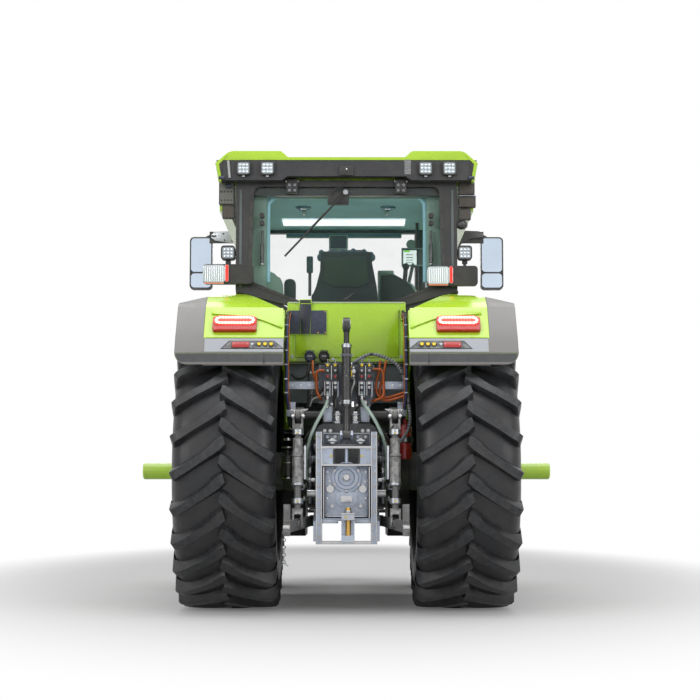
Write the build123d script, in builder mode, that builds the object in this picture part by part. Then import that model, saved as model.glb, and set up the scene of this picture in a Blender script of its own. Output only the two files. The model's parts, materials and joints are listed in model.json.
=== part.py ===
"""Row-crop farm tractor with bar rear axle, glass cab, tilting hood and rear three-point hitch."""

import os
from math import cos, hypot, radians, sin, tan

from build123d import *

os.makedirs("parts", exist_ok=True)

# Frame: X to the tractor's right, Y forwards, Z up, origin on the ground under the middle of its length.
# Every length is in millimetres. Lengths along the tractor are taken forwards from the rear axle by at().
OVERALL_LENGTH = 5600
REAR_REACH = 1250  # from the rear axle back to the ends of the lower links
WHEELBASE = 3000
HOUSING = (215, -430, 640, 1330)  # rear axle casting: half width, rear face, bottom, top
PIN_FIT = 0.08  # between a turning pin and its bore, on the radius

# Rear wheels
REAR_RADIUS = 1000
REAR_WIDTH = 720
REAR_TRACK = 1696
REAR_RIM_RADIUS = 533
BAR_LENGTH = 2994  # over both bar axle ends
BAR_INNER_END = 566
BAR_RADIUS = 62.5
BAR_END_RADIUS = 60  # of the machined stretch outside the wheel, which takes an outer wheel's hub
BAR_END_LENGTH = 300
BAR_CHAMFER = 8
REAR_LUG_HEIGHT = 55
REAR_LUGS = 24  # on each half of the tread

# Front wheels
FRONT_RADIUS = 800
FRONT_WIDTH = 600
FRONT_TRACK = 1800
FRONT_RIM_RADIUS = 432
KINGPIN_X = 620
STEERING_ARM = 220  # from the kingpin back to the tie rod's ball
TIE_ROD_Z = 690
TIE_ROD_PIN = 14
TIE_ROD_EYE = 32
FORK_X = 425  # inner face of the fork plate that carries a knuckle
FORK_Z = (612, 988)
AXLE_TUBE = 85
PIVOT_RADIUS = 45  # of the bearing on which the axle would rock
PIVOT_HANGERS = (2735, 3235)
KINGPIN = 30
EAR = 36  # thickness of the ears that hold a kingpin
DIFFERENTIAL = 150
FRONT_LUG_HEIGHT = 45
FRONT_LUGS = 18

# Tyres: across values are shares of half the width, heights are shares of the radius
LUG_OVERLAP = 0.04  # how far a lug's nose passes the middle of the tread
LUG_SHOULDER = 0.85  # where a lug's flat top ends
LUG_END = (0.99, 0.765)  # where it runs out into the sidewall, just inside it
LUG_ROOT_END = 0.8
LUG_THICKNESS = 0.063  # along the tread
TREAD_ROOT = 0.78
TREAD_EDGE = 0.82
SIDEWALL = 0.76  # height of the widest place
BEAD = 0.70
RIM_SEAT = 0.74

# Cab
CAB_HALF = 826
PILLAR = 50  # thickness of the pillars across the cab
FRONT_PILLAR = (1740, 1800)
DOOR_PILLAR = (985, 1035)
REAR_PILLAR = (0, 60)
FLOOR = (1350, 1400)
CEILING = 3130
BULKHEAD_TOP = 1700
CROSS_RAIL = 70  # height of the rails across the cab under the roof
DOOR_TOP = 2880
DOOR_LOW = 1410
DOOR_HINGE = (840, 1035)
DOOR_FACES = (790, 826)
GLASS = 6
DOOR_GAP = 7  # between the door and the pillars
DOOR_CORNER = 60  # radius of its window's corners
HINGE_PIN = 11
HINGE_Z = (1600, 2640)
SILL = 2325  # lower end of the rear pillars
ROOF_TOP = 3368
LAMP = 106  # side of a work lamp
ROOF_FRONT = 1900
ROOF_REAR = -150
ROOF_SPAN = 2100  # wider than the roof, for cuts right across it
PANEL_FRONT = -50
PANEL_REAR = -145
PANEL_TOP = 3300
REAR_OPENING = [(-701, 3120), (701, 3120), (720, 2408), (343, 2257), (-343, 2257), (-720, 2408)]
OPENING_CORNER = 48
WINDOW_FRAME = 35

# Rear fenders
FENDER_IN = 437
FENDER_OUT = 1000
SKIRT_OUT = 1197
FENDER_WALL = 12
FENDER_CREST = (738, 2290)
FENDER_EDGE_Z = 2250
CREST_RADIUS = 250
CUT_LOW, CUT_REAR, CUT_FRONT = 1200, -900, 1100  # clear of the fender, for what is cut out of it
SKIRT_EDGE_Z = 2186
SKIRT_TAIL = [(-800, 1723), (-790, 1810)]  # dark band and grey panel below the lamps
SKIRT_CORNER = 88  # radius of the lower outer corner
LAMP_EDGE = (-730, 1915)  # lower edge of the sloping face that holds the lamps
TAIL_LAMP = (785, 2008)  # middle of the tail lamp, as X and Z
ARCH_CENTRE = (-50, 1423)
ARCH_RADIUS = 888  # over the top
ARCH_FRONT_RADIUS = 1184  # in front, where it runs down to the floor
ARCH_ANGLES = (125, 61, 9)  # lamp face, meeting of the two arcs, floor
RAIL_ANGLES = (84, 61, 15)
RAIL = (4, 44)  # the cab's rail over the fender, from the fender's skin
COVER_REAR = -100  # rear face of the cover between the fenders

# Hood
HOOD_SKIN = 18
SHOULDER = (130, 150)  # how far its rounded upper edges reach in and down
HOOD_STATIONS = [  # forwards, half width, top, bottom
    (1850, 420, 2130, 1430),
    (2450, 350, 2100, 1450),
    (3600, 338, 1970, 1450),
    (3700, 330, 1940, 1180),
    (3900, 322, 1860, 1180),
    (4000, 300, 1690, 1180),
]
HOOD_HINGE = (1865, 2080)
HOOD_HINGE_X = 186
HOOD_PIN = 8
NOSE = 4000
EXHAUST = (640, 1990)
GRILLE = (510, 400)
GRILLE_Z = 1440
HEADLAMP = (170, 84)
WEIGHTS = 10
WEIGHT_WIDTH = 70
WEIGHT_PITCH = 74

# Rear hitch: both arm pairs have the same length, so the lift rods stay parallel
LIFT_SHAFT = (-200, 1400)
LOWER_PIVOT = (-250, 640)
LIFT_REACH = 550
LIFT_X = 337
LOWER_PIVOT_X = 251
LOWER_REACH = 930
PTO_Z = 945
PTO_COVER = -505  # rear face of the cover
PTO_RADII = (30, 22)  # in its bearing, and of the stub
LIFT_SHAFT_RADIUS = 35
HITCH_PIN = 14  # radius of the lift rods' pins
LOWER_PIN = 18
TOP_PIN = 12.5
DRAWBAR_PIN = 20
LIFT_DROP = 18  # how far the lift arms and lower links point down over their reach at rest
RAIL_X = (172, 215)
RAIL_Y = (-620, -430)
TOP_LINK_PIVOT = (-560, 1245)
VALVES = (-134, -80, 109, 162)
HOSE_Y = -440  # of the pipes below the valves
HOSE_TOP = 1560
HOSE_RADIUS = 10
LINK_HOSE_RADIUS = 12
CONDUIT_RADIUS = 14
BEND_SHARE = 0.45  # of a hose's shorter run that each bend may take

REAR_Y = REAR_REACH - OVERALL_LENGTH / 2
FRONT_Y = REAR_Y + WHEELBASE


def at(forward):
    """Y of a place that far in front of the rear axle."""
    return REAR_Y + forward


def side_plane(x):
    """A plane across the tractor at that X, drawn on as (forwards from the rear axle, up)."""
    return Plane(origin=(x, REAR_Y, 0), x_dir=(0, 1, 0), z_dir=(1, 0, 0))


def back_plane(forward):
    """A plane facing back, drawn on as (right, up)."""
    return Plane(origin=(0, at(forward), 0), x_dir=(1, 0, 0), z_dir=(0, -1, 0))


def level_plane(z):
    """A level plane, drawn on as (right, forwards from the rear axle)."""
    return Plane(origin=(0, REAR_Y, z))


def save(part, name):
    part.label = name
    export_step(part, f"parts/{name}.step")


def save_pair(part, name):
    """Writes a right-hand piece and its mirror image on the left as two nodes."""
    save(part, f"{name}_right")
    save(mirror(part, about=Plane.YZ), f"{name}_left")


def both_sides(part):
    """A right-hand piece with its mirror image, as two solids of one node."""
    return Compound(children=[*part.solids(), *mirror(part, about=Plane.YZ).solids()])


def box(x, forward, z):
    """A block between two X, two forward and two Z values, for use inside a BuildPart."""
    (x0, x1), (y0, y1), (z0, z1) = sorted(x), sorted(forward), sorted(z)
    with Locations(((x0 + x1) / 2, at((y0 + y1) / 2), (z0 + z1) / 2)):
        return Box(x1 - x0, y1 - y0, z1 - z0)


def slab(points, x, thickness, mode=Mode.ADD):
    """A plate of that outline, drawn as (forwards, up), standing at X and thick towards +X."""
    with BuildSketch(side_plane(x)) as outline:
        Polygon(*points, align=None)
    return extrude(outline.sketch, amount=thickness, mode=mode)


def round_bar(start, end, radius, mode=Mode.ADD):
    """A round bar between two points given as (X, forwards, Z)."""
    a, b = (Vector(p[0], at(p[1]), p[2]) for p in (start, end))
    with Locations(Plane(origin=(a + b) / 2, z_dir=b - a)):
        return Cylinder(radius, (b - a).length, mode=mode)


# Wheels


def tyre(x, y, radius, width, rim_radius, lug_height, lugs):
    """A drive tyre: a flat-sided barrel that carries two staggered rows of slanting lugs."""
    half = width / 2
    pitch = 360 / lugs
    corner = radius / cos(radians(pitch / 4))  # the two rows' corners take turns on the ground
    flat = corner * cos(radians(pitch / 2))
    reach = corner * sin(radians(pitch / 2))
    nose, shoulder = -LUG_OVERLAP * half, LUG_SHOULDER * half
    end = (LUG_END[0] * half, LUG_END[1] * radius)
    thickness = LUG_THICKNESS * radius
    slope = (2 * reach - thickness) / (shoulder - nose)
    root = TREAD_ROOT * radius
    outline = [(nose, root), (nose, flat), (shoulder, flat), end, (LUG_ROOT_END * half, root)]
    axle = Plane(origin=(x, y, radius), x_dir=(0, 1, 0), z_dir=(1, 0, 0))
    section = [(BEAD * half, rim_radius), (half, SIDEWALL * radius), (TREAD_EDGE * half, radius - lug_height)]
    with BuildPart() as body:
        for across, high in [(-u, r) for u, r in section] + section[::-1]:
            with BuildSketch(axle.offset(across)):
                RegularPolygon(high, lugs, major_radius=False)
        loft(ruled=True)
        with BuildPart(mode=Mode.PRIVATE) as rows:
            for n in range(2 * lugs):
                row = 1 if n % 2 else -1
                angle = radians((n / 2 + 0.25) * pitch)
                out, along = Vector(0, cos(angle), sin(angle)), Vector(0, -sin(angle), cos(angle))
                lengthways = Vector(row, 0, 0) + along * slope
                stretch = lengthways.length
                start = axle.origin - along * (reach + slope * nose)
                with BuildSketch(Plane(start, x_dir=lengthways, z_dir=lengthways.cross(out))) as bar:
                    Polygon(*[(u * stretch, v) for u, v in outline], align=None)
                extrude(bar.sketch, amount=thickness, dir=along)
        add(rows.part)
        with BuildSketch(axle.offset(-half)):
            RegularPolygon(rim_radius, lugs, major_radius=False)
        extrude(amount=width, mode=Mode.SUBTRACT)
    return body.part


def rear_rim():
    """Right rear rim with its drop centre, pressed disc and the clamp hub that grips the bar axle."""
    x = REAR_TRACK / 2
    r = REAR_RIM_RADIUS
    seat = RIM_SEAT * REAR_WIDTH / 2
    axle = Axis((x, REAR_Y, REAR_RADIUS), (1, 0, 0))
    plane = Plane(origin=(x, REAR_Y, REAR_RADIUS), x_dir=(1, 0, 0), z_dir=(0, -1, 0))
    with BuildPart() as rim:
        with BuildSketch(plane):
            Polygon(
                (-seat - 14, r + 22), (-seat - 14, r - 12), (-120, r - 16), (-90, r - 60), (60, r - 60),
                (90, r - 16), (seat + 14, r - 12), (seat + 14, r + 22), (seat, r + 22), (seat, r),
                (110, r), (80, r - 46), (-110, r - 46), (-140, r), (-seat, r), (-seat, r + 22),
                align=None,
            )
            Polygon(
                (40, r - 58), (60, r - 58), (130, 300), (130, 170), (112, 170), (112, 294),
                align=None,
            )
            Polygon(
                (20, BAR_RADIUS), (20, 150), (112, 190), (135, 190), (190, 120), (250, 105), (250, BAR_RADIUS),
                align=None,
            )
        revolve(axis=axle)
        with BuildSketch(Plane(origin=(x, REAR_Y, REAR_RADIUS), x_dir=(0, 1, 0), z_dir=(1, 0, 0))):
            with PolarLocations(350, 8):
                SlotOverall(110, 62, rotation=90)
        extrude(amount=160, mode=Mode.SUBTRACT)
    return rim.part


def rear_bar():
    """Right bar axle, from inside the axle housing to its machined and chamfered outer end."""
    step = BAR_LENGTH / 2 - BAR_CHAMFER - BAR_END_LENGTH
    with BuildPart() as bar:
        round_bar((BAR_INNER_END, 0, REAR_RADIUS), (step, 0, REAR_RADIUS), BAR_RADIUS)
        round_bar((step, 0, REAR_RADIUS), (BAR_LENGTH / 2, 0, REAR_RADIUS), BAR_END_RADIUS)
        chamfer(bar.faces().sort_by(Axis.X)[-1].edges(), BAR_CHAMFER)
    return bar.part


def front_rim():
    """Right front rim with its disc and the planetary hub that it is bolted to."""
    x = FRONT_TRACK / 2
    r = FRONT_RIM_RADIUS
    seat = RIM_SEAT * FRONT_WIDTH / 2
    plane = Plane(origin=(x, FRONT_Y, FRONT_RADIUS), x_dir=(1, 0, 0), z_dir=(0, -1, 0))
    with BuildPart() as rim:
        with BuildSketch(plane):
            Polygon(
                (-seat - 12, r + 22), (-seat - 12, r - 12), (-90, r - 15), (-60, r - 50), (40, r - 50),
                (70, r - 15), (seat + 12, r - 12), (seat + 12, r + 22), (seat, r + 22), (seat, r),
                (90, r), (55, r - 38), (-75, r - 38), (-105, r), (-seat, r), (-seat, r + 22),
                align=None,
            )
            disc = [(10, r - 48), (28, r - 48), (30, 270), (-10, 220), (-10, 150), (-26, 150), (-26, 226), (12, 276)]
            Polygon(*disc, align=None)
            hub = [(-130, 0), (-130, 150), (-40, 165), (-26, 200), (0, 200), (10, 150), (110, 135), (130, 110),
                   (130, 0)]
            Polygon(*hub, align=None)
        revolve(axis=Axis(plane.origin, (1, 0, 0)))
        with BuildSketch(Plane(origin=plane.origin, x_dir=(0, 1, 0), z_dir=(1, 0, 0)).offset(-40)):
            with PolarLocations(325, 8):
                SlotOverall(76, 44, rotation=90)
        extrude(amount=100, mode=Mode.SUBTRACT)
    return rim.part


# Driveline and frame


def transmission():
    """Rear axle and gearbox casting with its two axle trumpets, lift housing and power take-off cover."""
    half, back, bottom, top = HOUSING
    flange, trumpet_end, sleeve_end = 280, 470, BAR_INNER_END + 54
    y_front, gearbox_half = 1930, 200
    with BuildPart() as casting:
        box((-half, half), (back, 480), (bottom, top))
        fillet(casting.edges().filter_by(Axis.Y), 60)
        with BuildSketch(side_plane(-gearbox_half)):
            Polygon((400, 690), (1100, 720), (y_front, 800), (y_front, 1280), (400, 1280), align=None)
        extrude(amount=2 * gearbox_half)
        box((-170, 170), (back + 100, 120), (top, LIFT_SHAFT[1] + 80))
        for side in (-1, 1):
            with BuildSketch(Plane(origin=(side * gearbox_half, REAR_Y, REAR_RADIUS), z_dir=(side, 0, 0))):
                Circle(235)
            extrude(amount=flange - gearbox_half)
            with BuildSketch(Plane(origin=(side * flange, REAR_Y, REAR_RADIUS), z_dir=(side, 0, 0))):
                Circle(190)
            with BuildSketch(Plane(origin=(side * trumpet_end, REAR_Y, REAR_RADIUS), z_dir=(side, 0, 0))):
                Circle(128)
            loft()
            round_bar((side * trumpet_end, 0, REAR_RADIUS), (side * sleeve_end, 0, REAR_RADIUS), 140)
            round_bar((side * (BAR_INNER_END - 6), 0, REAR_RADIUS), (side * sleeve_end, 0, REAR_RADIUS),
                      BAR_RADIUS + PIN_FIT, Mode.SUBTRACT)
        round_bar((0, back, PTO_Z), (0, back - 50, PTO_Z), 95)
        round_bar((0, back - 50, PTO_Z), (0, PTO_COVER, PTO_Z), 62)
        round_bar((0, back - 30, PTO_Z), (0, PTO_COVER, PTO_Z), PTO_RADII[0] + PIN_FIT, Mode.SUBTRACT)
        round_bar((-200, *LIFT_SHAFT), (200, *LIFT_SHAFT), LIFT_SHAFT_RADIUS + PIN_FIT, Mode.SUBTRACT)
    return casting.part


def pto_shaft():
    """Stub of the power take-off, which turns in the rear cover."""
    shoulder, end = PTO_COVER - 15, PTO_COVER - 105
    with BuildPart() as shaft:
        round_bar((0, PTO_COVER + 43, PTO_Z), (0, shoulder, PTO_Z), PTO_RADII[0])
        round_bar((0, shoulder, PTO_Z), (0, end, PTO_Z), PTO_RADII[1])
    return shaft.part


def engine():
    """Plain block of the engine with its sump."""
    rear, front, crank = 1960, 3350, 1180
    with BuildPart() as block:
        box((-185, 185), (rear, front), (1060, 1700))
        fillet(block.edges().filter_by(Axis.Y).group_by(Axis.Z)[-1], 30)
        box((-140, 140), (rear + 90, 2560), (905, 1060))
        round_bar((0, front, crank), (0, front + 30, crank), 90)
    return block.part


def front_frame():
    """Two narrow frame rails, the bolster over the axle pivot and the nose plate."""
    low, high, nose = 900, 1060, 3880
    inner, outer = 160, 190
    side_view = [(1930, 860), (2750, 860), (2900, 960), (3300, 960), (3500, low), (nose, low), (nose, high),
                 (1930, high)]
    with BuildPart() as frame:
        for x in (-outer, inner):
            slab(side_view, x, outer - inner)
        box((-inner, inner), (2700, 3300), (985, high))
        box((-inner, inner), (3300, 3330), (low, high))
        box((-outer, outer), (nose, nose + 40), (low - 40, high + 40))
        for y in PIVOT_HANGERS:
            box((-110, 110), (y, y + 40), (735, 985))
            round_bar((0, y, FRONT_RADIUS), (0, y + 40, FRONT_RADIUS), PIVOT_RADIUS, Mode.SUBTRACT)
    return frame.part


def front_axle():
    """Front axle beam: one round housing with the differential, and the forks that hold the knuckles."""
    centre = (0, FRONT_Y, FRONT_RADIUS)
    low, high = FORK_Z
    bulge, stub = 250, FORK_X + 20
    pivot_rear, shaft_rear = PIVOT_HANGERS[0], 1934
    with BuildPart() as beam:
        with BuildSketch(Plane(origin=centre, x_dir=(1, 0, 0), z_dir=(0, -1, 0))):
            with BuildLine():
                Polyline((-bulge, AXLE_TUBE), (-stub, AXLE_TUBE), (-stub, 0), (stub, 0), (stub, AXLE_TUBE),
                         (bulge, AXLE_TUBE))
                ThreePointArc((-bulge, AXLE_TUBE), (0, DIFFERENTIAL), (bulge, AXLE_TUBE))
            make_face()
        revolve(axis=Axis(centre, (1, 0, 0)))
        for side in (-1, 1):
            box((side * FORK_X, side * (FORK_X + 40)), (WHEELBASE - 60, WHEELBASE + 60), FORK_Z)
            for z in (low, high - EAR):
                with BuildSketch(level_plane(z)):
                    with Locations((side * KINGPIN_X, WHEELBASE)):
                        Circle(72)
                    with Locations((side * (KINGPIN_X + FORK_X + 15) / 2, WHEELBASE)):
                        Rectangle(KINGPIN_X - FORK_X - 15, 120)
                extrude(amount=EAR)
            round_bar((side * KINGPIN_X, WHEELBASE, low - 12), (side * KINGPIN_X, WHEELBASE, high + 12),
                      KINGPIN + PIN_FIT, Mode.SUBTRACT)
        round_bar((0, pivot_rear, FRONT_RADIUS), (0, PIVOT_HANGERS[1] + 40, FRONT_RADIUS), PIVOT_RADIUS)
        round_bar((0, pivot_rear, FRONT_RADIUS), (0, pivot_rear - 95, FRONT_RADIUS), PIVOT_RADIUS + 15)
        round_bar((0, pivot_rear - 85, FRONT_RADIUS), (0, shaft_rear, FRONT_RADIUS + 80), 32)
    return beam.part


def knuckle():
    """Right steering knuckle between the fork's ears, with its kingpin, spindle and steering arm."""
    arm_end = WHEELBASE - STEERING_ARM
    arm_root = WHEELBASE - 40
    low, high = FORK_Z
    spindle_end = 765
    with BuildPart() as made:
        round_bar((KINGPIN_X, WHEELBASE, low + EAR + 12), (KINGPIN_X, WHEELBASE, high - EAR - 12), 100)
        round_bar((KINGPIN_X, WHEELBASE, low - 7), (KINGPIN_X, WHEELBASE, high + 7), KINGPIN)
        round_bar((KINGPIN_X, WHEELBASE, FRONT_RADIUS), (spindle_end, WHEELBASE, FRONT_RADIUS), 118)
        with BuildSketch(level_plane(TIE_ROD_Z + 24)):
            Polygon((KINGPIN_X - 60, arm_root), (KINGPIN_X + 60, arm_root), (KINGPIN_X + TIE_ROD_EYE, arm_end),
                    (KINGPIN_X - TIE_ROD_EYE, arm_end), align=None)
            with Locations((KINGPIN_X, arm_end)):
                Circle(TIE_ROD_EYE)
        extrude(amount=EAR)
        round_bar((KINGPIN_X, arm_end, TIE_ROD_Z - 22), (KINGPIN_X, arm_end, TIE_ROD_Z + 30), TIE_ROD_PIN)
    return made.part


def tie_rod():
    """Tie rod that joins the two steering arms behind the axle."""
    y = WHEELBASE - STEERING_ARM
    with BuildPart() as rod:
        round_bar((-KINGPIN_X, y, TIE_ROD_Z), (KINGPIN_X, y, TIE_ROD_Z), 17)
        for x in (-KINGPIN_X, KINGPIN_X):
            round_bar((x, y, TIE_ROD_Z - 20), (x, y, TIE_ROD_Z + 20), TIE_ROD_EYE - 2)
            round_bar((x, y, TIE_ROD_Z - 30), (x, y, TIE_ROD_Z + 30), TIE_ROD_PIN + PIN_FIT, Mode.SUBTRACT)
    return rod.part


def front_weights():
    """Row of slab weights that hang side by side on the nose plate's bracket."""
    rear, front, low, top = 4020, 4350, 690, 1130
    side_view = [(rear, 800), (rear + 40, low), (front - 100, low), (front, 800), (front, 1010), (front - 60, top),
                 (rear, top)]
    with BuildPart() as weights:
        box((-170, 170), (3920, rear + 20), (900, 1010))
        box((-360, 360), (rear + 10, rear + 40), (900, 1010))
        for n in range(WEIGHTS):
            x = (n - (WEIGHTS - 1) / 2) * WEIGHT_PITCH
            with BuildSketch(side_plane(x - WEIGHT_WIDTH / 2)) as weight:
                Polygon(*side_view, align=None)
                fillet(weight.vertices(), 24)
            extrude(weight.sketch, amount=WEIGHT_WIDTH)
    return weights.part


def fuel_tanks():
    """Fuel tank on the left and battery box on the right, under the cab's doors."""
    inner, width, top, rear, front = 330, 360, 1330, 1085, 1925
    side_view = [(rear, 560), (rear + 65, 500), (front - 75, 500), (front, 580), (front, top), (1240, top),
                 (rear, 1180)]
    with BuildPart() as tank:
        with BuildSketch(side_plane(inner)) as outline:
            Polygon(*side_view, align=None)
            fillet(outline.vertices(), 40)
        extrude(outline.sketch, amount=width)
        for y in (1250, 1750):
            box((200, inner), (y, y + 60), (850, 950))
    return both_sides(tank.part)


def steps():
    """Ladder of four treads between two side plates on each side, below the door."""
    top, inner, plate = 1340, 690, 12
    rear, front = 1290, 1800
    outline = [(inner, top), (inner, 500), (940, 430), (1000, 430), (1000, 480), (820, top)]
    with BuildPart() as ladder:
        for y in (rear, front):
            with BuildSketch(back_plane(y)):
                Polygon(*outline, align=None)
            extrude(amount=-plate)
        for z, x in ((450, 985), (700, 930), (960, 880), (1215, 830)):
            box((max(inner, x - 190), x), (rear + plate, front), (z, z + 28))
    return both_sides(ladder.part)


def radiator():
    """Cooling pack behind the grille."""
    with BuildPart() as pack:
        box((-215, 215), (3480, 3640), (1060, 1780))
    return pack.part


def exhaust():
    """Silencer and tail pipe at the right front pillar, on two brackets."""
    x, y = EXHAUST
    pillar = FRONT_PILLAR[1]
    bottom, shoulder, top, bracket = 1500, 2550, 3260, 2400
    with BuildPart() as pipe:
        round_bar((x, y, bottom), (x, y, shoulder), 80)
        round_bar((x, y, shoulder), (x, y, top), 50)
        box((x - 40, x + 40), (pillar, y), (bottom + 60, bottom + 100))
        box((x - 20, CAB_HALF - 20), (pillar, pillar + 30), (bracket, bracket + 40))
        box((x - 20, x + 20), (pillar, y), (bracket, bracket + 40))
        round_bar((x, y, top - 60), (x, y, top + 40), 42, Mode.SUBTRACT)
    return pipe.part


# Hood


def hood_block(inset):
    """The hood's outer form, or with an inset the space inside its skin, open at the rear and below."""
    with BuildPart() as block:
        for forward, half, top, bottom in HOOD_STATIONS:
            w, t, low = half - inset, top - inset, bottom - 3 * inset
            shoulder, side = (w - SHOULDER[0], t), (w, t - SHOULDER[1])
            middle = (w - 38, t - 50)
            with BuildSketch(back_plane(forward - inset)):
                with BuildLine():
                    Polyline((-side[0], side[1]), (-w, low), (w, low), side)
                    ThreePointArc(side, middle, shoulder)
                    Line(shoulder, (-shoulder[0], t))
                    ThreePointArc((-shoulder[0], t), (-middle[0], middle[1]), (-side[0], side[1]))
                make_face()
        loft(ruled=True)
    return block.part


def hood():
    """Tilting hood with its nose opening and the two ears of its hinge."""
    y, z = HOOD_HINGE
    ear = [(y - 15, z + 42), (y + 20, z + 42), (y + 20, z - 10), (y - 15, z - 10)]
    with BuildPart() as shell:
        add(hood_block(0))
        add(hood_block(HOOD_SKIN), mode=Mode.SUBTRACT)
        for side in (-1, 1):
            slab(ear, side * HOOD_HINGE_X - 6, 12)
        round_bar((-200, y, z), (200, y, z), HOOD_PIN + PIN_FIT, Mode.SUBTRACT)
        with Locations((0, at(NOSE), GRILLE_Z)):
            Box(GRILLE[0], 80, GRILLE[1], mode=Mode.SUBTRACT)
    return shell.part


def grille():
    """Nose grille with level slats either side of a middle bar, and a raised lamp in each upper corner."""
    width, height = GRILLE
    middle = NOSE - 10
    slots, pitch, slot = 7, 36, (220, 20)
    with BuildPart() as panel:
        with Locations((0, at(middle), GRILLE_Z)):
            Box(width, 16, height)
        for x in (-125, 125):
            for n in range(slots):
                with Locations((x, at(middle), GRILLE_Z - 170 + pitch * n)):
                    Box(slot[0], 20, slot[1], mode=Mode.SUBTRACT)
        for x in (-150, 150):
            with BuildSketch(back_plane(NOSE + 2)) as lamp:
                with Locations((x, GRILLE_Z + 130)):
                    RectangleRounded(*HEADLAMP, 30)
            extrude(lamp.sketch, amount=44)
    return panel.part


# Cab


def outward(points, distance):
    """Those (forwards, up) points moved away from the rear axle's centre."""
    moved = []
    for y, z in points:
        reach = hypot(y, z - REAR_RADIUS)
        moved.append((y * (1 + distance / reach), REAR_RADIUS + (z - REAR_RADIUS) * (1 + distance / reach)))
    return moved


def arch_curve(distance, angles=ARCH_ANGLES):
    """Draws the fender's line, moved outwards: an arc over the top and one in front. Returns its two ends."""
    rear, meeting, front = angles
    turn = radians(meeting)
    shift = ARCH_RADIUS - ARCH_FRONT_RADIUS
    low_centre = (ARCH_CENTRE[0] + shift * cos(turn), ARCH_CENTRE[1] + shift * sin(turn))
    top = CenterArc(ARCH_CENTRE, ARCH_RADIUS + distance, rear, meeting - rear)
    down = CenterArc(low_centre, ARCH_FRONT_RADIUS + distance, meeting, front - meeting)
    return top @ 0, down @ 1


def under_arch(distance, closing, x=300, angles=ARCH_ANGLES):
    """The face below that line, closed through those (forwards, up) points, on the side plane at X."""
    with BuildSketch(side_plane(x)) as face:
        with BuildLine():
            start, end = arch_curve(distance, angles)
            Polyline(end, *closing, start)
        make_face()
    return face.sketch


def cab_frame():
    """Pillars, roof rails and the rails that follow the fenders, with the door hinges' fixed halves."""
    inner = CAB_HALF - PILLAR
    x_hinge, y_hinge = DOOR_HINGE
    sill = [(CAB_HALF, SILL), (738, SILL), (FENDER_IN, SILL - 180)]
    sill_top = [(421, SILL - 120), (722, SILL + 60), (CAB_HALF, SILL + 60)]
    with BuildPart() as frame:
        for side in (-1, 1):
            across = (side * inner, side * CAB_HALF)
            box(across, REAR_PILLAR, (SILL, CEILING))
            box(across, DOOR_PILLAR, (FLOOR[1], CEILING))
            box(across, FRONT_PILLAR, (FLOOR[1], CEILING))
            box(across, (REAR_PILLAR[1], FRONT_PILLAR[0]), (DOOR_TOP + 10, CEILING))
            with BuildSketch(side_plane(min(across))) as rail:
                with BuildLine():
                    ends = [arch_curve(distance, RAIL_ANGLES) for distance in RAIL]
                    for low_end, high_end in zip(*ends):
                        Line(low_end, high_end)
                make_face()
            extrude(rail.sketch, amount=PILLAR)
            for z in HINGE_Z:
                round_bar((side * x_hinge, y_hinge, z), (side * x_hinge, y_hinge, z + 40), HINGE_PIN)
                box((side * CAB_HALF, side * x_hinge), (y_hinge - 30, y_hinge), (z, z + 40))
        for y in (REAR_PILLAR, FRONT_PILLAR):
            box((-inner, inner), y, (CEILING - CROSS_RAIL, CEILING))
        with BuildSketch(back_plane(REAR_PILLAR[1])):
            Polygon(*[(-x, z) for x, z in sill], *sill[::-1], *sill_top[::-1], *[(-x, z) for x, z in sill_top],
                    align=None)
        extrude(amount=REAR_PILLAR[1] - REAR_PILLAR[0])
    return frame.part


def cab_floor():
    """Floor, seat shelf, rear wall and front bulkhead, on four mounts, with the hood hinge's brackets."""
    y_hood, z_hood = HOOD_HINGE
    shelf, wall, bulkhead = 1500, -60, 1800
    bracket_x = HOOD_HINGE_X - 20
    bracket = [(bulkhead + 30, z_hood - 60), (y_hood + 12, z_hood - 60), (y_hood + 12, z_hood + 12),
               (y_hood - 12, z_hood + 12), (bulkhead + 30, z_hood - 20)]
    with BuildPart() as floor:
        box((-CAB_HALF, CAB_HALF), (DOOR_PILLAR[0], FRONT_PILLAR[1]), FLOOR)
        box((-FENDER_IN, FENDER_IN), (150, DOOR_PILLAR[0]), FLOOR)
        box((-FENDER_IN, FENDER_IN), (130, 160), (FLOOR[0], shelf + 30))
        box((-FENDER_IN, FENDER_IN), (wall, 130), (shelf, shelf + 30))
        box((-FENDER_IN, FENDER_IN), (wall, wall + 25), (shelf + 30, 2240))
        box((PILLAR - CAB_HALF, CAB_HALF - PILLAR), (bulkhead - 40, bulkhead), (FLOOR[1], BULKHEAD_TOP))
        box((-400, 400), (bulkhead, bulkhead + 30), (1400, 2060))
        for side in (-1, 1):
            box((side * 80, side * 150), (1440, 1500), (1280, FLOOR[0]))
            box((side * 80, side * 150), (300, 360), (1330, FLOOR[0]))
            slab(bracket, side * bracket_x - 6, 12)
            box((side * (bracket_x - 6), side * (bracket_x + 6)), (bulkhead, bulkhead + 40), (2020, 2060))
            pin = (side * (bracket_x - 1), side * (bracket_x + 29))
            round_bar((pin[0], y_hood, z_hood), (pin[1], y_hood, z_hood), HOOD_PIN)
    return floor.part


def door_window():
    """Outline of a door's window on the side plane it is added to."""
    rear, front = DOOR_HINGE[1] + DOOR_GAP, FRONT_PILLAR[0] - DOOR_GAP
    with BuildSketch(mode=Mode.PRIVATE) as window:
        with Locations(((rear + front) / 2, (DOOR_LOW + DOOR_TOP) / 2 + 5)):
            RectangleRounded(front - rear - 110, DOOR_TOP - DOOR_LOW - 130, DOOR_CORNER)
    return window.sketch


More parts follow.
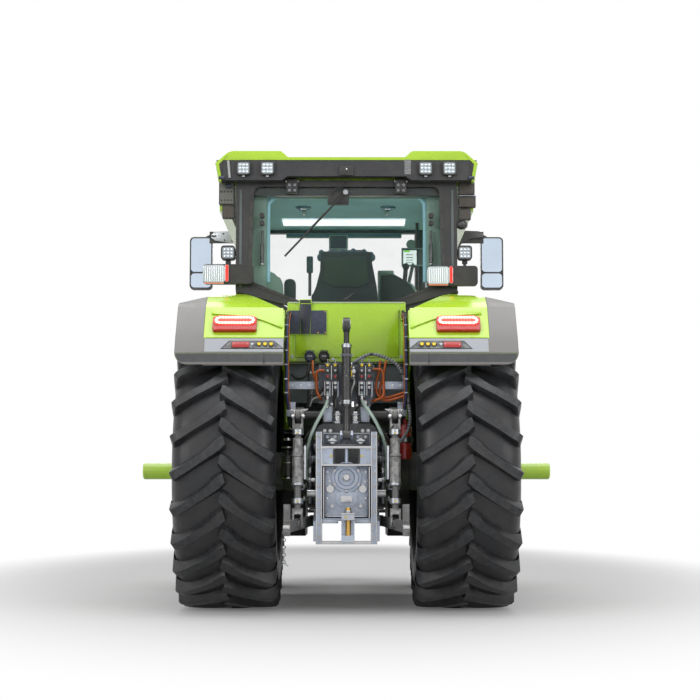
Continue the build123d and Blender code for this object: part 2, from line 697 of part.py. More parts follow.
def door():
    """Right door: a frame round one large window, with its handle and the hinges' moving halves."""
    x_hinge, y_hinge = DOOR_HINGE
    rear, front = y_hinge + DOOR_GAP, FRONT_PILLAR[0] - DOOR_GAP
    inner, outer = DOOR_FACES
    with BuildPart() as panel:
        with BuildSketch(side_plane(inner)) as frame:
            with Locations(((rear + front) / 2, (DOOR_LOW + DOOR_TOP) / 2)):
                RectangleRounded(front - rear, DOOR_TOP - DOOR_LOW, DOOR_CORNER / 2)
            add(door_window(), mode=Mode.SUBTRACT)
        extrude(frame.sketch, amount=outer - inner)
        for z in HINGE_Z:
            round_bar((x_hinge, y_hinge, z - 45), (x_hinge, y_hinge, z - 5), HINGE_PIN)
            box((outer, x_hinge), (y_hinge, y_hinge + 50), (z - 45, z - 5))
        box((outer, outer + 30), (front - 50, front - 20), (1850, 1980))
    return panel.part


def door_glass():
    """Pane of the right door."""
    with BuildPart() as pane:
        with BuildSketch(side_plane(DOOR_FACES[0] + 14)) as outline:
            add(door_window())
        extrude(outline.sketch, amount=GLASS)
    return pane.part


def cab_glass():
    """Windscreen, the two side windows over the fenders and the rear pane."""
    inner = CAB_HALF - PILLAR
    screen_y = FRONT_PILLAR[0] + 24
    with BuildPart() as screen:
        box((-inner, inner), (screen_y, screen_y + GLASS), (BULKHEAD_TOP, CEILING - CROSS_RAIL))
    with BuildPart() as side:
        box((CAB_HALF - 26, CAB_HALF - 26 + GLASS), (REAR_PILLAR[1], DOOR_PILLAR[0]), (FLOOR[1], DOOR_TOP + 10))
        below_rail = under_arch(RAIL[1], [(1100, FLOOR[1]), (0, FLOOR[1])], CAB_HALF - PILLAR, RAIL_ANGLES)
        extrude(below_rail, amount=PILLAR, mode=Mode.SUBTRACT)
    with BuildPart() as rear:
        with BuildSketch(back_plane(-14)) as pane:
            add(rear_opening())
        extrude(pane.sketch, amount=GLASS)
    return Compound(children=[*screen.part.solids(), *both_sides(side.part).solids(), *rear.part.solids()])


def rear_opening():
    """Outline of the rear window's pane, with round corners."""
    with BuildSketch(mode=Mode.PRIVATE) as opening:
        Polygon(*REAR_OPENING, align=None)
        fillet(opening.vertices(), OPENING_CORNER)
    return opening.sketch


def rear_window_frame():
    """Frame of the rear window, which hangs over the back of the cab from two top hinges."""
    outer = [(CAB_HALF, 3170), (CAB_HALF, SILL + 7), (360, SILL - 120)]
    with BuildPart() as frame:
        with BuildSketch(back_plane(0)) as outline:
            Polygon(*outer, *[(-x, z) for x, z in outer[::-1]], align=None)
            fillet(outline.vertices(), OPENING_CORNER / 2)
            add(rear_opening(), mode=Mode.SUBTRACT)
        extrude(outline.sketch, amount=WINDOW_FRAME)
    return frame.part


def box_cut(forward, z):
    """Cuts the whole width of the roof between two forward and two Z values."""
    with Locations((0, at(sum(forward) / 2), sum(z) / 2)):
        Box(ROOF_SPAN, forward[1] - forward[0], z[1] - z[0], mode=Mode.SUBTRACT)


def roof():
    """Roof cap: two raised side pods, a lower middle, side walls down over the doors and a sloping visor."""
    wall, wall_in, wall_low = 950, 880, 2940
    half = [(434, 3322), (486, ROOF_TOP), (850, ROOF_TOP), (887, 3353), (973, 3276), (wall, 3150),
            (wall, wall_low), (wall_in, wall_low), (wall_in, CEILING)]
    visor = [(ROOF_FRONT - 320, ROOF_TOP), (ROOF_FRONT, ROOF_TOP), (ROOF_FRONT, 3290)]
    with BuildPart() as cap:
        with BuildSketch(back_plane(ROOF_FRONT)) as outline:
            Polygon(*half, *[(-x, z) for x, z in half[::-1]], align=None)
            fillet(outline.vertices().group_by(Axis.Y)[-1], 30)
            fillet(outline.vertices().filter_by_position(Axis.Y, 3270, 3280), 20)
        extrude(outline.sketch, amount=ROOF_FRONT - ROOF_REAR)
        slab(visor, -ROOF_SPAN / 2, ROOF_SPAN, Mode.SUBTRACT)
        box_cut((ROOF_REAR, PANEL_FRONT), (2900, PANEL_TOP))
        box_cut((ROOF_REAR, 0), (2820, 3180))
    return cap.part


def roof_panel():
    """Dark rear panel under the roof's rear edge, which holds the lamps and the camera."""
    low, middle_low = 3150, 3179
    half = [(440, middle_low), (480, low), (950, low), (968, PANEL_TOP - 50), (965, PANEL_TOP)]
    with BuildPart() as panel:
        with BuildSketch(back_plane(PANEL_FRONT)):
            Polygon(*half, *[(-x, z) for x, z in half[::-1]], align=None)
        extrude(amount=PANEL_FRONT - PANEL_REAR)
        round_bar((0, PANEL_REAR + 5, 3212), (0, PANEL_REAR - 15, 3212), 22)
    return panel.part


def headliner():
    """Cab ceiling."""
    inner = CAB_HALF - PILLAR
    with BuildPart() as lining:
        box((-inner, inner), (REAR_PILLAR[1], FRONT_PILLAR[0]), (CEILING - 40, CEILING))
    return lining.part


def seat():
    """Driver's seat: pedestal, cushion, a back that narrows to its headrest, and the left armrest."""
    low, top, headrest, head_half = 1800, 1920, 2718, 165
    rear, front = 445, 960
    half_back = [(250, top - 20), (240, 2380), (head_half, 2500), (head_half, headrest)]
    with BuildPart() as chair:
        with BuildSketch(level_plane(FLOOR[1])) as foot:
            with Locations((0, 670)):
                RectangleRounded(320, 380, 40)
        extrude(foot.sketch, amount=low - FLOOR[1])
        with BuildPart(mode=Mode.PRIVATE) as cushion:
            box((-260, 260), (rear + 5, front), (low, top))
            fillet(cushion.edges().filter_by(Axis.Z), 70)
            fillet(cushion.faces().sort_by(Axis.Z)[-1].edges(), 35)
        add(cushion.part)
        with BuildPart(mode=Mode.PRIVATE) as back:
            with BuildSketch(back_plane(rear + 130)) as outline:
                Polygon(*half_back, *[(-x, z) for x, z in half_back[::-1]], align=None)
                fillet(outline.vertices().filter_by_position(Axis.Y, 2300, 2800), 45)
            extrude(outline.sketch, amount=130)
            fillet(back.faces().sort_by(Axis.Y)[-1].edges().filter_by_position(Axis.Z, 1950, 2800), 20)
        add(back.part)
        box((-275, -235), (rear, rear + 35), (2060, 2120))
        box((-315, -270), (rear, 800), (2080, 2125))
    return chair.part


def steering_wheel():
    """Steering column and wheel."""
    y_hub, z_hub = 1330, 2180
    hub, foot = Vector(0, at(y_hub), z_hub), Vector(0, at(1600), FLOOR[1])
    with BuildPart() as wheel:
        box((-90, 90), (1520, 1700), (FLOOR[1], FLOOR[1] + 200))
        round_bar((0, 1570, 1500), (0, y_hub, z_hub), 40)
        with Locations(Plane(origin=hub, z_dir=hub - foot)):
            Torus(200, 15)
            Cylinder(45, 30)
            with PolarLocations(110, 3, start_angle=90):
                Box(190, 24, 14)
    return wheel.part


def consoles():
    """Right-hand armrest console, left shelf and the monitor on its post."""
    arm_top, y_front = 2080, 1020
    monitor_x, monitor_y, monitor_low = 547, 1190, 2700
    with BuildPart() as desk:
        box((320, FENDER_IN), (350, y_front), (1930, arm_top))
        box((300, 380), (560, y_front), (arm_top, arm_top + 50))
        round_bar((400, 950, arm_top), (monitor_x, monitor_y + 10, monitor_low + 20), 14)
        box((monitor_x - 95, monitor_x + 95), (monitor_y, monitor_y + 30), (monitor_low, monitor_low + 150))
    with BuildPart() as shelf:
        box((-FENDER_IN, -330), (300, 900), (1880, 2060))
    return Compound(children=[*desk.part.solids(), *shelf.part.solids()])


def mirrors():
    """Outer mirrors: a housing with round corners on a flat bracket from the roof's front corner."""
    y, x_middle, z_middle = 1836, 1252, 2818
    with BuildPart() as unit:
        box((950, 1180), (y - 16, y), (2990, 3090))
        round_bar((965, y - 8, 3050), (x_middle, y + 32, 3020), 14)
        with BuildSketch(back_plane(y)) as housing:
            with Locations((x_middle, z_middle)):
                RectangleRounded(195, 455, 36)
        extrude(housing.sketch, amount=-64)
    return both_sides(unit.part)


def work_lamp(x, z, forward, depth):
    """One square lamp with round corners, from that place so far back, or with a negative depth forwards."""
    with BuildSketch(back_plane(forward)) as face:
        with Locations((x, z)):
            RectangleRounded(LAMP, LAMP, 22)
    return extrude(face.sketch, amount=depth)


def work_lamps():
    """Square work lamps: four in the rear panel, four in the roof's front edge and one on each rear pillar."""
    z_roof, z_pillar = 3236, 2626
    with BuildPart() as lamps:
        for x in (586, 763):
            work_lamp(x, z_roof, PANEL_REAR, 25)
            work_lamp(x, z_roof, ROOF_FRONT, -25)
        work_lamp(CAB_HALF + 5 + LAMP / 2, z_pillar, 50, 70)
        box((CAB_HALF, CAB_HALF + 20), (0, 45), (z_pillar - 20, z_pillar + 20))
    return both_sides(lamps.part)


# Rear fenders


def arch(outer_side, inner_side, across_outer, across_inner):
    """A shell between two crossed outlines: faces seen from the side, and outlines seen from behind."""
    blocks = []
    for side_face, rear_outline in ((outer_side, across_outer), (inner_side, across_inner)):
        with BuildPart() as block:
            extrude(side_face, amount=1000)
            with BuildSketch(back_plane(1200)):
                add(rear_outline)
            extrude(amount=2400, mode=Mode.INTERSECT)
        blocks.append(block.part)
    with BuildPart() as shell:
        add(blocks[0])
        add(blocks[1], mode=Mode.SUBTRACT)
    return shell.part


def across(points, corner, radius):
    """An outline seen from behind, with one of its corners rounded."""
    with BuildSketch() as outline:
        Polygon(*points, align=None)
        fillet(outline.vertices().sort_by_distance(corner)[0], radius)
    return outline.sketch


def fender():
    """Green right fender: arched top and lamp face, with the inner wall that closes the cab's side."""
    w = FENDER_WALL
    (low,) = outward([LAMP_EDGE], -w)
    x, z = FENDER_CREST
    back_wall = -60
    return arch(
        under_arch(0, [(back_wall, FLOOR[0]), (back_wall, LAMP_EDGE[1]), LAMP_EDGE]),
        under_arch(-w, [(CUT_FRONT, 1300), (CUT_REAR, 1300), (CUT_REAR, low[1]), low]),
        across([(FENDER_IN, CUT_LOW), (FENDER_IN, z - 163), (x, z), (FENDER_OUT, FENDER_EDGE_Z),
                (FENDER_OUT, CUT_LOW)], (x, z), CREST_RADIUS),
        across([(FENDER_IN + w, CUT_LOW), (FENDER_IN + w, z - 170), (x + 3, z - 13), (CUT_FRONT, 2223),
                (CUT_FRONT, CUT_LOW)], (x + 3, z - 13), CREST_RADIUS - w),
    )


def skirt():
    """Grey right extension that widens the fender over the tyre, with the panel and band below its lamps."""
    w = FENDER_WALL
    tail = [*SKIRT_TAIL, LAMP_EDGE]
    low_tail = outward(tail, -w)
    z_low = SKIRT_TAIL[0][1]
    corner = (SKIRT_OUT, z_low)
    front_out = 1100  # narrower in front, where it runs down beside the cab
    wing = arch(
        under_arch(0, [(900, FLOOR[0]), (-60, z_low), *tail]),
        under_arch(-w, [(CUT_FRONT, 1300), (CUT_REAR, 1300), (CUT_REAR, low_tail[0][1]), *low_tail]),
        across([(FENDER_OUT, CUT_LOW), (FENDER_OUT, FENDER_EDGE_Z), (SKIRT_OUT, SKIRT_EDGE_Z), corner,
                (front_out, z_low), (front_out, CUT_LOW)], corner, SKIRT_CORNER),
        across([(FENDER_OUT - 1, CUT_LOW), (FENDER_OUT - 1, FENDER_EDGE_Z - 13), (1300, 2140), (1300, CUT_LOW)],
               (1300, 2140), 10),
    )
    with BuildPart() as band:
        with BuildSketch(side_plane(FENDER_IN)):
            Polygon(*tail, *low_tail[::-1], align=None)
        extrude(amount=FENDER_OUT - FENDER_IN)
    with BuildPart() as extension:
        add(wing)
        add(band.part)
    return extension.part


def lamp_face(x, z):
    """A plane on the fender's sloping lamp face at that height, facing back."""
    y0, z0 = LAMP_EDGE
    turn = radians(ARCH_ANGLES[0])
    y1, z1 = ARCH_CENTRE[0] + ARCH_RADIUS * cos(turn), ARCH_CENTRE[1] + ARCH_RADIUS * sin(turn)
    y = y0 + (y1 - y0) * (z - z0) / (z1 - z0)
    return Plane(origin=(x, at(y), z), x_dir=(1, 0, 0), z_dir=(0, z0 - z1, y1 - y0))


def tail_lamps():
    """Tail lamp on each fender's sloping face."""
    with BuildPart() as lamp:
        with BuildSketch(lamp_face(*TAIL_LAMP)):
            RectangleRounded(310, 130, 20)
        extrude(amount=28)
    return both_sides(lamp.part)


def indicators():
    """Turn signals beside the rear window, each on a stalk from the rear pillar."""
    rear, depth, height = -70, 60, 148
    units = []
    for side, low, high, z in ((-1, -1060, -690, 2450), (1, 595, 970, 2438)):
        with BuildPart() as unit:
            with BuildSketch(back_plane(rear)) as body:
                with Locations(((low + high) / 2, z)):
                    RectangleRounded(high - low, height, 26)
            extrude(body.sketch, amount=depth)
            box((side * CAB_HALF, side * (CAB_HALF + 20)), (rear, 45), (z - 20, z + 12))
        units += unit.part.solids()
    return Compound(children=units)


def rear_panel():
    """Green cover between the fenders, under the rear window."""
    with BuildPart() as cover:
        box((-FENDER_IN, FENDER_IN), (COVER_REAR, COVER_REAR + 40), (1806, 2190))
    return cover.part


def plate_holder():
    """Blank plate on its holder, on the left of the rear cover."""
    with BuildPart() as plate:
        box((-434, -146), (COVER_REAR - 16, COVER_REAR), (2002, 2182))
    return plate.part


# Rear hitch and hydraulics


def valve_block():
    """Four remote valve sections on their bracket, each with two couplers facing back."""
    rear, front, foot = -480, -330, 1630
    with BuildPart() as block:
        box((-200, 200), (front, front + 30), (1480, 1760))
        for x in VALVES:
            box((x - 23, x + 23), (rear, front), (foot, 1745))
            for z in (1660, 1712):
                round_bar((x, rear, z), (x, rear - 25, z), 16)
            round_bar((x, HOSE_Y, foot), (x, HOSE_Y, HOSE_TOP), LINK_HOSE_RADIUS)
    return block.part


def hitch_frame():
    """Ladder frame behind the axle housing with the top link's bracket and the lower links' pivots."""
    y_low, z_low = LOWER_PIVOT
    y_top, z_top = TOP_LINK_PIVOT
    inner, outer = RAIL_X
    rear, front = RAIL_Y
    foot, plate = 480, (1025, 1165)
    opening, opening_z = (167, 105), 1095
    gusset = [(y_low + 60, 700), (y_low + 60, 590), (rear, 500), (rear, 640), (front, 720)]
    jaw = [(front, z_top + 25), (y_top, z_top + 30), (y_top - 30, z_top), (y_top, z_top - 30),
           (front, z_top - 60)]
    with BuildPart() as frame:
        for side in (-1, 1):
            box((side * inner, side * outer), (rear, front), (foot, 1265))
            slab(gusset, side * 223.5 - 8.5, 17)
            round_bar((side * 220, y_low, z_low), (side * 285, y_low, z_low), LOWER_PIN)
            round_bar((side * 271, y_low, z_low), (side * 285, y_low, z_low), LOWER_PIN + 8)
            slab(jaw, side * 38 - 7, 14)
        round_bar((-45, y_top, z_top), (45, y_top, z_top), TOP_PIN)
        box((-inner, inner), (rear, rear + 20), plate)
        box((-inner, inner), (rear, rear + 160), (foot, foot + 20))
        box((-inner, inner), (rear + 60, front), (645, 660))
        with Locations((0, at(rear + 10), opening_z)):
            Box(opening[0], 60, opening[1], mode=Mode.SUBTRACT)
        round_bar((0, rear + 26, plate[0]), (0, rear + 26, plate[1]), TOP_PIN)
    return frame.part


def drawbar():
    """Fixed drawbar with its upper jaw and the vertical bore for the hitch pin."""
    left, right, end, low = -35, 55, -870, 500
    jaw_low, jaw_top = 650, 690
    y_pin = -815
    with BuildPart() as bar:
        box((left, right), (end, -300), (low, low + 45))
        box((left, right), (-340, -290), (low + 45, 640))
        box((left, right), (-740, -700), (low + 45, jaw_top))
        box((left, right), (end, -740), (jaw_low, jaw_top))
        round_bar((10, y_pin, low - 20), (10, y_pin, jaw_top + 10), DRAWBAR_PIN, Mode.SUBTRACT)
    return bar.part


def lift_arms():
    """Cross shaft in the lift housing with an arm on each end."""
    y, z = LIFT_SHAFT
    y_tip, z_tip = y - LIFT_REACH, z - LIFT_DROP
    arm = [(y, z + 55), (y_tip, z_tip + 32), (y_tip, z_tip - 32), (y, z - 55)]
    with BuildPart() as arms:
        round_bar((-320, y, z), (320, y, z), LIFT_SHAFT_RADIUS)
        for side in (-1, 1):
            x = side * LIFT_X
            round_bar((x - 25, y, z), (x + 25, y, z), 62)
            slab(arm, x - 16, 32)
            round_bar((x - 16, y_tip, z_tip), (x + 16, y_tip, z_tip), 36)
            round_bar((x - 20, y_tip, z_tip), (x + 20, y_tip, z_tip), HITCH_PIN + PIN_FIT, Mode.SUBTRACT)
    return arms.part


def lift_rods():
    """The two lift rods, forked at both ends, each with its two pins."""
    top = (LIFT_SHAFT[0] - LIFT_REACH, LIFT_SHAFT[1] - LIFT_DROP)
    low = (LOWER_PIVOT[0] - LIFT_REACH, LOWER_PIVOT[1] - LIFT_DROP)
    half, cheek = 26, 7
    with BuildPart() as rod:
        for end, step in ((top, -1), (low, 1)):
            y, z = end
            for x in (LIFT_X - 30, LIFT_X + 30):
                round_bar((x - cheek, y, z), (x + cheek, y, z), 30)
                box((x - cheek, x + cheek), (y - half, y + half), (z, z + step * 90))
            box((LIFT_X - 37, LIFT_X + 37), (y - half, y + half), (z + step * 68, z + step * 108))
            round_bar((LIFT_X - 40, y, z), (LIFT_X + 40, y, z), HITCH_PIN)
        round_bar((LIFT_X, top[0] - 3, top[1] - 70), (LIFT_X, low[0] + 3, low[1] + 70), 24)
    return both_sides(rod.part)


def lower_links():
    """The two lower links with their pivot eyes, the eyes for the lift rods and the claws."""
    y, z = LOWER_PIVOT
    splay = (LIFT_X - LOWER_PIVOT_X) / LIFT_REACH
    drop = LIFT_DROP / LIFT_REACH

    def along(distance):
        return (LOWER_PIVOT_X + splay * distance, y - distance, z - drop * distance)

    with BuildPart() as link:
        x_end, y_end, z_end = along(LOWER_REACH)
        for place, height in (((LOWER_PIVOT_X, y, z), 70), ((x_end, y_end, z_end), 80)):
            with BuildSketch(back_plane(place[1])):
                with Locations((place[0], place[2])):
                    Rectangle(24, height)
        loft()
        round_bar((LOWER_PIVOT_X - 14, y, z), (LOWER_PIVOT_X + 14, y, z), 40)
        x_rod, y_rod, z_rod = along(LIFT_REACH)
        round_bar((x_rod - 17, y_rod, z_rod), (x_rod + 17, y_rod, z_rod), 34)
        claw = [(y_end + 70, z_end - 45), (y_end - 50, z_end - 60), (y_end - 70, z_end - 10),
                (y_end - 40, z_end + 20), (y_end + 20, z_end + 20), (y_end + 10, z_end + 150),
                (y_end + 60, z_end + 150)]
        slab(claw, x_end - 22, 44)
        hook = (y_end - 18, z_end + 22)
        round_bar((x_end - 30, *hook), (x_end + 30, *hook), 32, Mode.SUBTRACT)
        round_bar((200, y, z), (300, y, z), LOWER_PIN + PIN_FIT, Mode.SUBTRACT)
        round_bar((x_rod - 40, y_rod, z_rod), (x_rod + 40, y_rod, z_rod), HITCH_PIN + PIN_FIT, Mode.SUBTRACT)
    return both_sides(link.part)


def top_link():
    """Top link, stowed upright: a thick barrel between its lower eye and its upper claw."""
    y, z = TOP_LINK_PIVOT
    barrel, claw = (200, 620), 780
    with BuildPart() as link:
        round_bar((-26, y, z), (26, y, z), 32)
        round_bar((0, y, z + 20), (0, y, z + barrel[0] + 20), 22)
        round_bar((0, y, z + barrel[0]), (0, y, z + barrel[1]), 32)
        round_bar((0, y, z + barrel[1] - 20), (0, y, z + claw - 40), 20)
        round_bar((-24, y, z + claw), (24, y, z + claw), 52)
        round_bar((-30, y - 20, z + claw + 10), (30, y - 20, z + claw + 10), 26, Mode.SUBTRACT)
        round_bar((-30, y, z), (30, y, z), TOP_PIN + PIN_FIT, Mode.SUBTRACT)
    return link.part


def canister(x, low, high, radius):
    """A round vessel beside the lift housing, on an arm from the axle housing's side."""
    side = 1 if x > 0 else -1
    y, neck = -250, high - 40
    with BuildPart() as vessel:
        round_bar((x, y, low), (x, y, neck), radius)
        fillet(vessel.edges().filter_by(GeomType.CIRCLE), radius * 0.3)
        round_bar((x, y, neck - 20), (x, y, high), radius * 0.35)
        box((side * HOUSING[0], x - side * radius * 0.8), (y - 20, y + 20), (low + 100, low + 130))
    return vessel.part


def hose(radius, *corners):
    """A hose held at both ends: straight runs between those (X, forward, Z) corners, joined by round bends."""
    places = [Vector(x, at(y), z) for x, y, z in corners]
    bends = []
    for before, here, after in zip(places, places[1:], places[2:]):
        half_turn = radians((here - before).get_angle(after - here)) / 2
        run = min((here - before).length, (after - here).length)
        bends.append(BEND_SHARE * run / tan(half_turn))
    with BuildPart() as made:
        with BuildLine() as path:
            FilletPolyline(*places, radius=bends)
        with BuildSketch(Plane(origin=path.line @ 0, z_dir=path.line % 0)):
            Circle(radius)
        sweep()
    return made.part


def hydraulic_hoses():
    """Two hoses from the valves down to the axle housing, and a short loop on either side of the valves."""
    runs = [
        hose(LINK_HOSE_RADIUS, (VALVES[0], HOSE_Y, HOSE_TOP), (VALVES[0], HOSE_Y, 1480),
             (-250, -480, 1270), (-290, -480, 1090),
             (-285, -410, 930), (-215, -410, 930)),
        hose(LINK_HOSE_RADIUS, (VALVES[2], HOSE_Y, HOSE_TOP), (VALVES[2], HOSE_Y, 1490),
             (215, -480, 1340), (287, -480, 1160),
             (285, -410, 930), (215, -410, 930)),
        hose(HOSE_RADIUS, (-157, -400, 1712), (-217, -400, 1712), (-214, -400, 1560), (-185, -400, 1510),
             (-185, -330, 1510)),
        hose(HOSE_RADIUS, (185, -400, 1722), (262, -400, 1722), (270, -400, 1520), (190, -400, 1495),
             (190, -330, 1495)),
    ]
    return Compound(children=[run.solid() for run in runs])


def conduit():
    """Ribbed conduit that comes out under the rear cover, bends over and runs down past the right lift arm."""
    return hose(CONDUIT_RADIUS, (60, -60, 1780), (60, -330, 1780), (180, -390, 1832), (330, -400, 1780),
                (400, -400, 1690), (445, -400, 1480), (440, -420, 1290), (300, -420, 1120), (215, -420, 1120))


save(transmission(), "transmission")
save(engine(), "engine")
save(radiator(), "radiator")
save(front_frame(), "front_frame")
save(front_axle(), "front_axle")
save(front_weights(), "front_weights")
save(fuel_tanks(), "fuel_tanks")
save(steps(), "steps")
save(exhaust(), "exhaust")
save(hood(), "hood")
save(grille(), "grille")
save(cab_frame(), "cab_frame")
save(cab_floor(), "cab_floor")
save_pair(door(), "door")
save_pair(door_glass(), "door_glass")
save(cab_glass(), "cab_glass")
save(rear_window_frame(), "rear_window_frame")
save(roof(), "roof")
save(roof_panel(), "roof_panel")
save(headliner(), "headliner")
save(seat(), "seat")
save(steering_wheel(), "steering_wheel")
save(consoles(), "consoles")
save(mirrors(), "mirrors")
save(work_lamps(), "work_lamps")
save(both_sides(fender()), "fenders")
save(both_sides(skirt()), "fender_extensions")
save(tail_lamps(), "tail_lamps")
save(indicators(), "indicators")
save(rear_panel(), "rear_panel")
save(plate_holder(), "plate_holder")
save(valve_block(), "valve_block")
save(hitch_frame(), "hitch_frame")
save(drawbar(), "drawbar")
save(lift_arms(), "lift_arms")
save(lift_rods(), "lift_rods")
save(lower_links(), "lower_links")
save(top_link(), "top_link")
save(pto_shaft(), "pto_shaft")
save(hydraulic_hoses(), "hydraulic_hoses")
save(conduit(), "conduit")
save(canister(425, 1080, 1370, 50), "fire_extinguisher")
save(canister(-425, 950, 1150, 45), "accumulator")
save_pair(rear_rim(), "rear_rim")
save_pair(rear_bar(), "bar_axle")
save_pair(front_rim(), "front_rim")
save_pair(knuckle(), "knuckle")
save(tie_rod(), "tie_rod")
save_pair(
    tyre(REAR_TRACK / 2, REAR_Y, REAR_RADIUS, REAR_WIDTH, REAR_RIM_RADIUS, REAR_LUG_HEIGHT, REAR_LUGS),
    "rear_tyre",
)
save_pair(
    tyre(FRONT_TRACK / 2, FRONT_Y, FRONT_RADIUS, FRONT_WIDTH, FRONT_RIM_RADIUS, FRONT_LUG_HEIGHT, FRONT_LUGS),
    "front_tyre",
)
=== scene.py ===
"""Looks of the farm tractor: finishes, tyres, cab fittings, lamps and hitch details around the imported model."""
import json
from math import atan, cos, hypot, pi, radians, sin, tan

import bmesh
import bpy
from mathutils import Matrix, Vector

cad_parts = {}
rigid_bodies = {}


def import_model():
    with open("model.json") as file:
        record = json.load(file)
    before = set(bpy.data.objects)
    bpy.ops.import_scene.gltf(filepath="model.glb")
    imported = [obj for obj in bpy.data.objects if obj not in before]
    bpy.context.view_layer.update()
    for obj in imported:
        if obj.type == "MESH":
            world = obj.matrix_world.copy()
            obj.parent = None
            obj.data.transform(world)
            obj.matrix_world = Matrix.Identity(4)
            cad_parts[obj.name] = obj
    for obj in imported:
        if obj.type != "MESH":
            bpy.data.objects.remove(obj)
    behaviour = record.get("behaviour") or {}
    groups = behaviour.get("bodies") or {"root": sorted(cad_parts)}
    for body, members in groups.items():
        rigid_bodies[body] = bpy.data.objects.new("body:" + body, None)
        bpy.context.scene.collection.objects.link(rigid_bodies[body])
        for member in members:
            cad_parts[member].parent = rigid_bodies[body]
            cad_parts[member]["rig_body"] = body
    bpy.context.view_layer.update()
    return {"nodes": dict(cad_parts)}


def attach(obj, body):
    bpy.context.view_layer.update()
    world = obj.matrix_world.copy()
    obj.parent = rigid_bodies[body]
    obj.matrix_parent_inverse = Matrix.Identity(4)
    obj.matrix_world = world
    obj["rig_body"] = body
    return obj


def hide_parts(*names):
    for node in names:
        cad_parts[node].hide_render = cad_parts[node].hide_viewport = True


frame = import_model()

# Frame, in metres: X to the tractor's right, Y forwards, Z up
REAR_AXLE = Vector((0, -1.55, 1.0))
FRONT_AXLE = Vector((0, 1.45, 0.8))
REAR_WHEEL_X = 0.848
FRONT_WHEEL_X = 0.9
SMOOTH_ANGLE = radians(32)  # edges sharper than this stay sharp
EDGE_ANGLE = radians(35)  # and sharper than this are rounded
EDGE_WIDTH = 0.003
FLAT_ANGLE = radians(0.6)
WELD = 0.00002


def at(forward):
    """Y of a place that far in front of the rear axle."""
    return REAR_AXLE.y + forward


def spot(point):
    """A Vector is a place in the frame, and a tuple is one whose Y counts from the rear axle."""
    return point if isinstance(point, Vector) else Vector((point[0], at(point[1]), point[2]))


def new_object(name, data):
    made = bpy.data.objects.new(name, data)
    bpy.context.scene.collection.objects.link(made)
    return made


# Shader groups


def group(name, inputs, outputs, build):
    """A shader node group with named sockets, filled by build(tree, inside, outside)."""
    tree = bpy.data.node_groups.new(name, "ShaderNodeTree")
    for label, kind, value in inputs:
        socket = tree.interface.new_socket(label, in_out="INPUT", socket_type=kind)
        socket.default_value = value
    for label, kind in outputs:
        tree.interface.new_socket(label, in_out="OUTPUT", socket_type=kind)
    inside = tree.nodes.new("NodeGroupInput")
    outside = tree.nodes.new("NodeGroupOutput")
    build(tree, inside.outputs, outside.inputs)
    return tree


def node(tree, kind, links=(), **settings):
    """A node of that kind, with its properties set and its inputs linked or valued."""
    made = tree.nodes.new(kind)
    for key, value in settings.items():
        setattr(made, key, value)
    for key, value in dict(links).items():
        if isinstance(value, bpy.types.NodeSocket):
            tree.links.new(value, made.inputs[key])
        else:
            made.inputs[key].default_value = value
    return made


def math(tree, operation, a, b=0.0):
    return node(tree, "ShaderNodeMath", {0: a, 1: b}, operation=operation).outputs[0]


def noise(tree, scale, detail=4.0, rough=0.55, vector=None):
    place = vector or node(tree, "ShaderNodeTexCoord").outputs["Object"]
    links = {"Vector": place, "Scale": scale, "Detail": detail, "Roughness": rough}
    return node(tree, "ShaderNodeTexNoise", links).outputs["Fac"]


def spread(tree, value, low, high, to_low=0.0, to_high=1.0):
    links = {"Value": value, "From Min": low, "From Max": high, "To Min": to_low, "To Max": to_high}
    return node(tree, "ShaderNodeMapRange", links, clamp=True).outputs["Result"]


def blend(tree, amount, a, b, mode="MIX"):
    made = node(tree, "ShaderNodeMix", data_type="RGBA", blend_type=mode)
    for index, value in ((0, amount), (6, a), (7, b)):
        if isinstance(value, bpy.types.NodeSocket):
            tree.links.new(value, made.inputs[index])
        else:
            made.inputs[index].default_value = value
    return made.outputs[2]


def build_weathering(tree, inside, outside):
    """Colour that drifts a little, dust in broad patches and low down, and bare edges."""
    drift = spread(tree, noise(tree, inside["Drift Scale"]), 0.3, 0.7, -0.5, 0.5)
    shade = math(tree, "ADD", math(tree, "MULTIPLY", drift, inside["Drift"]), 1.0)
    tone = node(tree, "ShaderNodeHueSaturation", {"Value": shade, "Color": inside["Color"]}).outputs["Color"]
    place = node(tree, "ShaderNodeSeparateXYZ", {0: node(tree, "ShaderNodeTexCoord").outputs["Object"]})
    low = spread(tree, place.outputs["Z"], 1.6, 0.2)
    patches = spread(tree, noise(tree, 5.0, 6.0, 0.65), 0.42, 0.7)
    specks = spread(tree, noise(tree, 90.0, 2.0), 0.5, 0.75)
    dust = math(tree, "MULTIPLY", math(tree, "ADD", math(tree, "MULTIPLY", low, 0.6), 0.4), patches)
    dust = math(tree, "ADD", math(tree, "MULTIPLY", dust, 0.8), math(tree, "MULTIPLY", specks, 0.15))
    dust = math(tree, "MULTIPLY", dust, inside["Dust"])
    dusty = blend(tree, dust, tone, inside["Dust Color"])
    edges = node(tree, "ShaderNodeNewGeometry").outputs["Pointiness"]
    worn = spread(tree, edges, 0.53, 0.6)
    worn = math(tree, "MULTIPLY", worn, spread(tree, noise(tree, 30.0), 0.4, 0.6))
    worn = math(tree, "MULTIPLY", worn, inside["Wear"])
    tree.links.new(blend(tree, worn, dusty, inside["Bare Color"]), outside["Color"])
    rough = math(tree, "ADD", inside["Roughness"], math(tree, "MULTIPLY", dust, 0.35))
    smear = math(tree, "MULTIPLY", spread(tree, noise(tree, 14.0, 5.0), 0.3, 0.7, -1.0, 1.0), inside["Smear"])
    tree.links.new(math(tree, "ADD", rough, smear), outside["Roughness"])


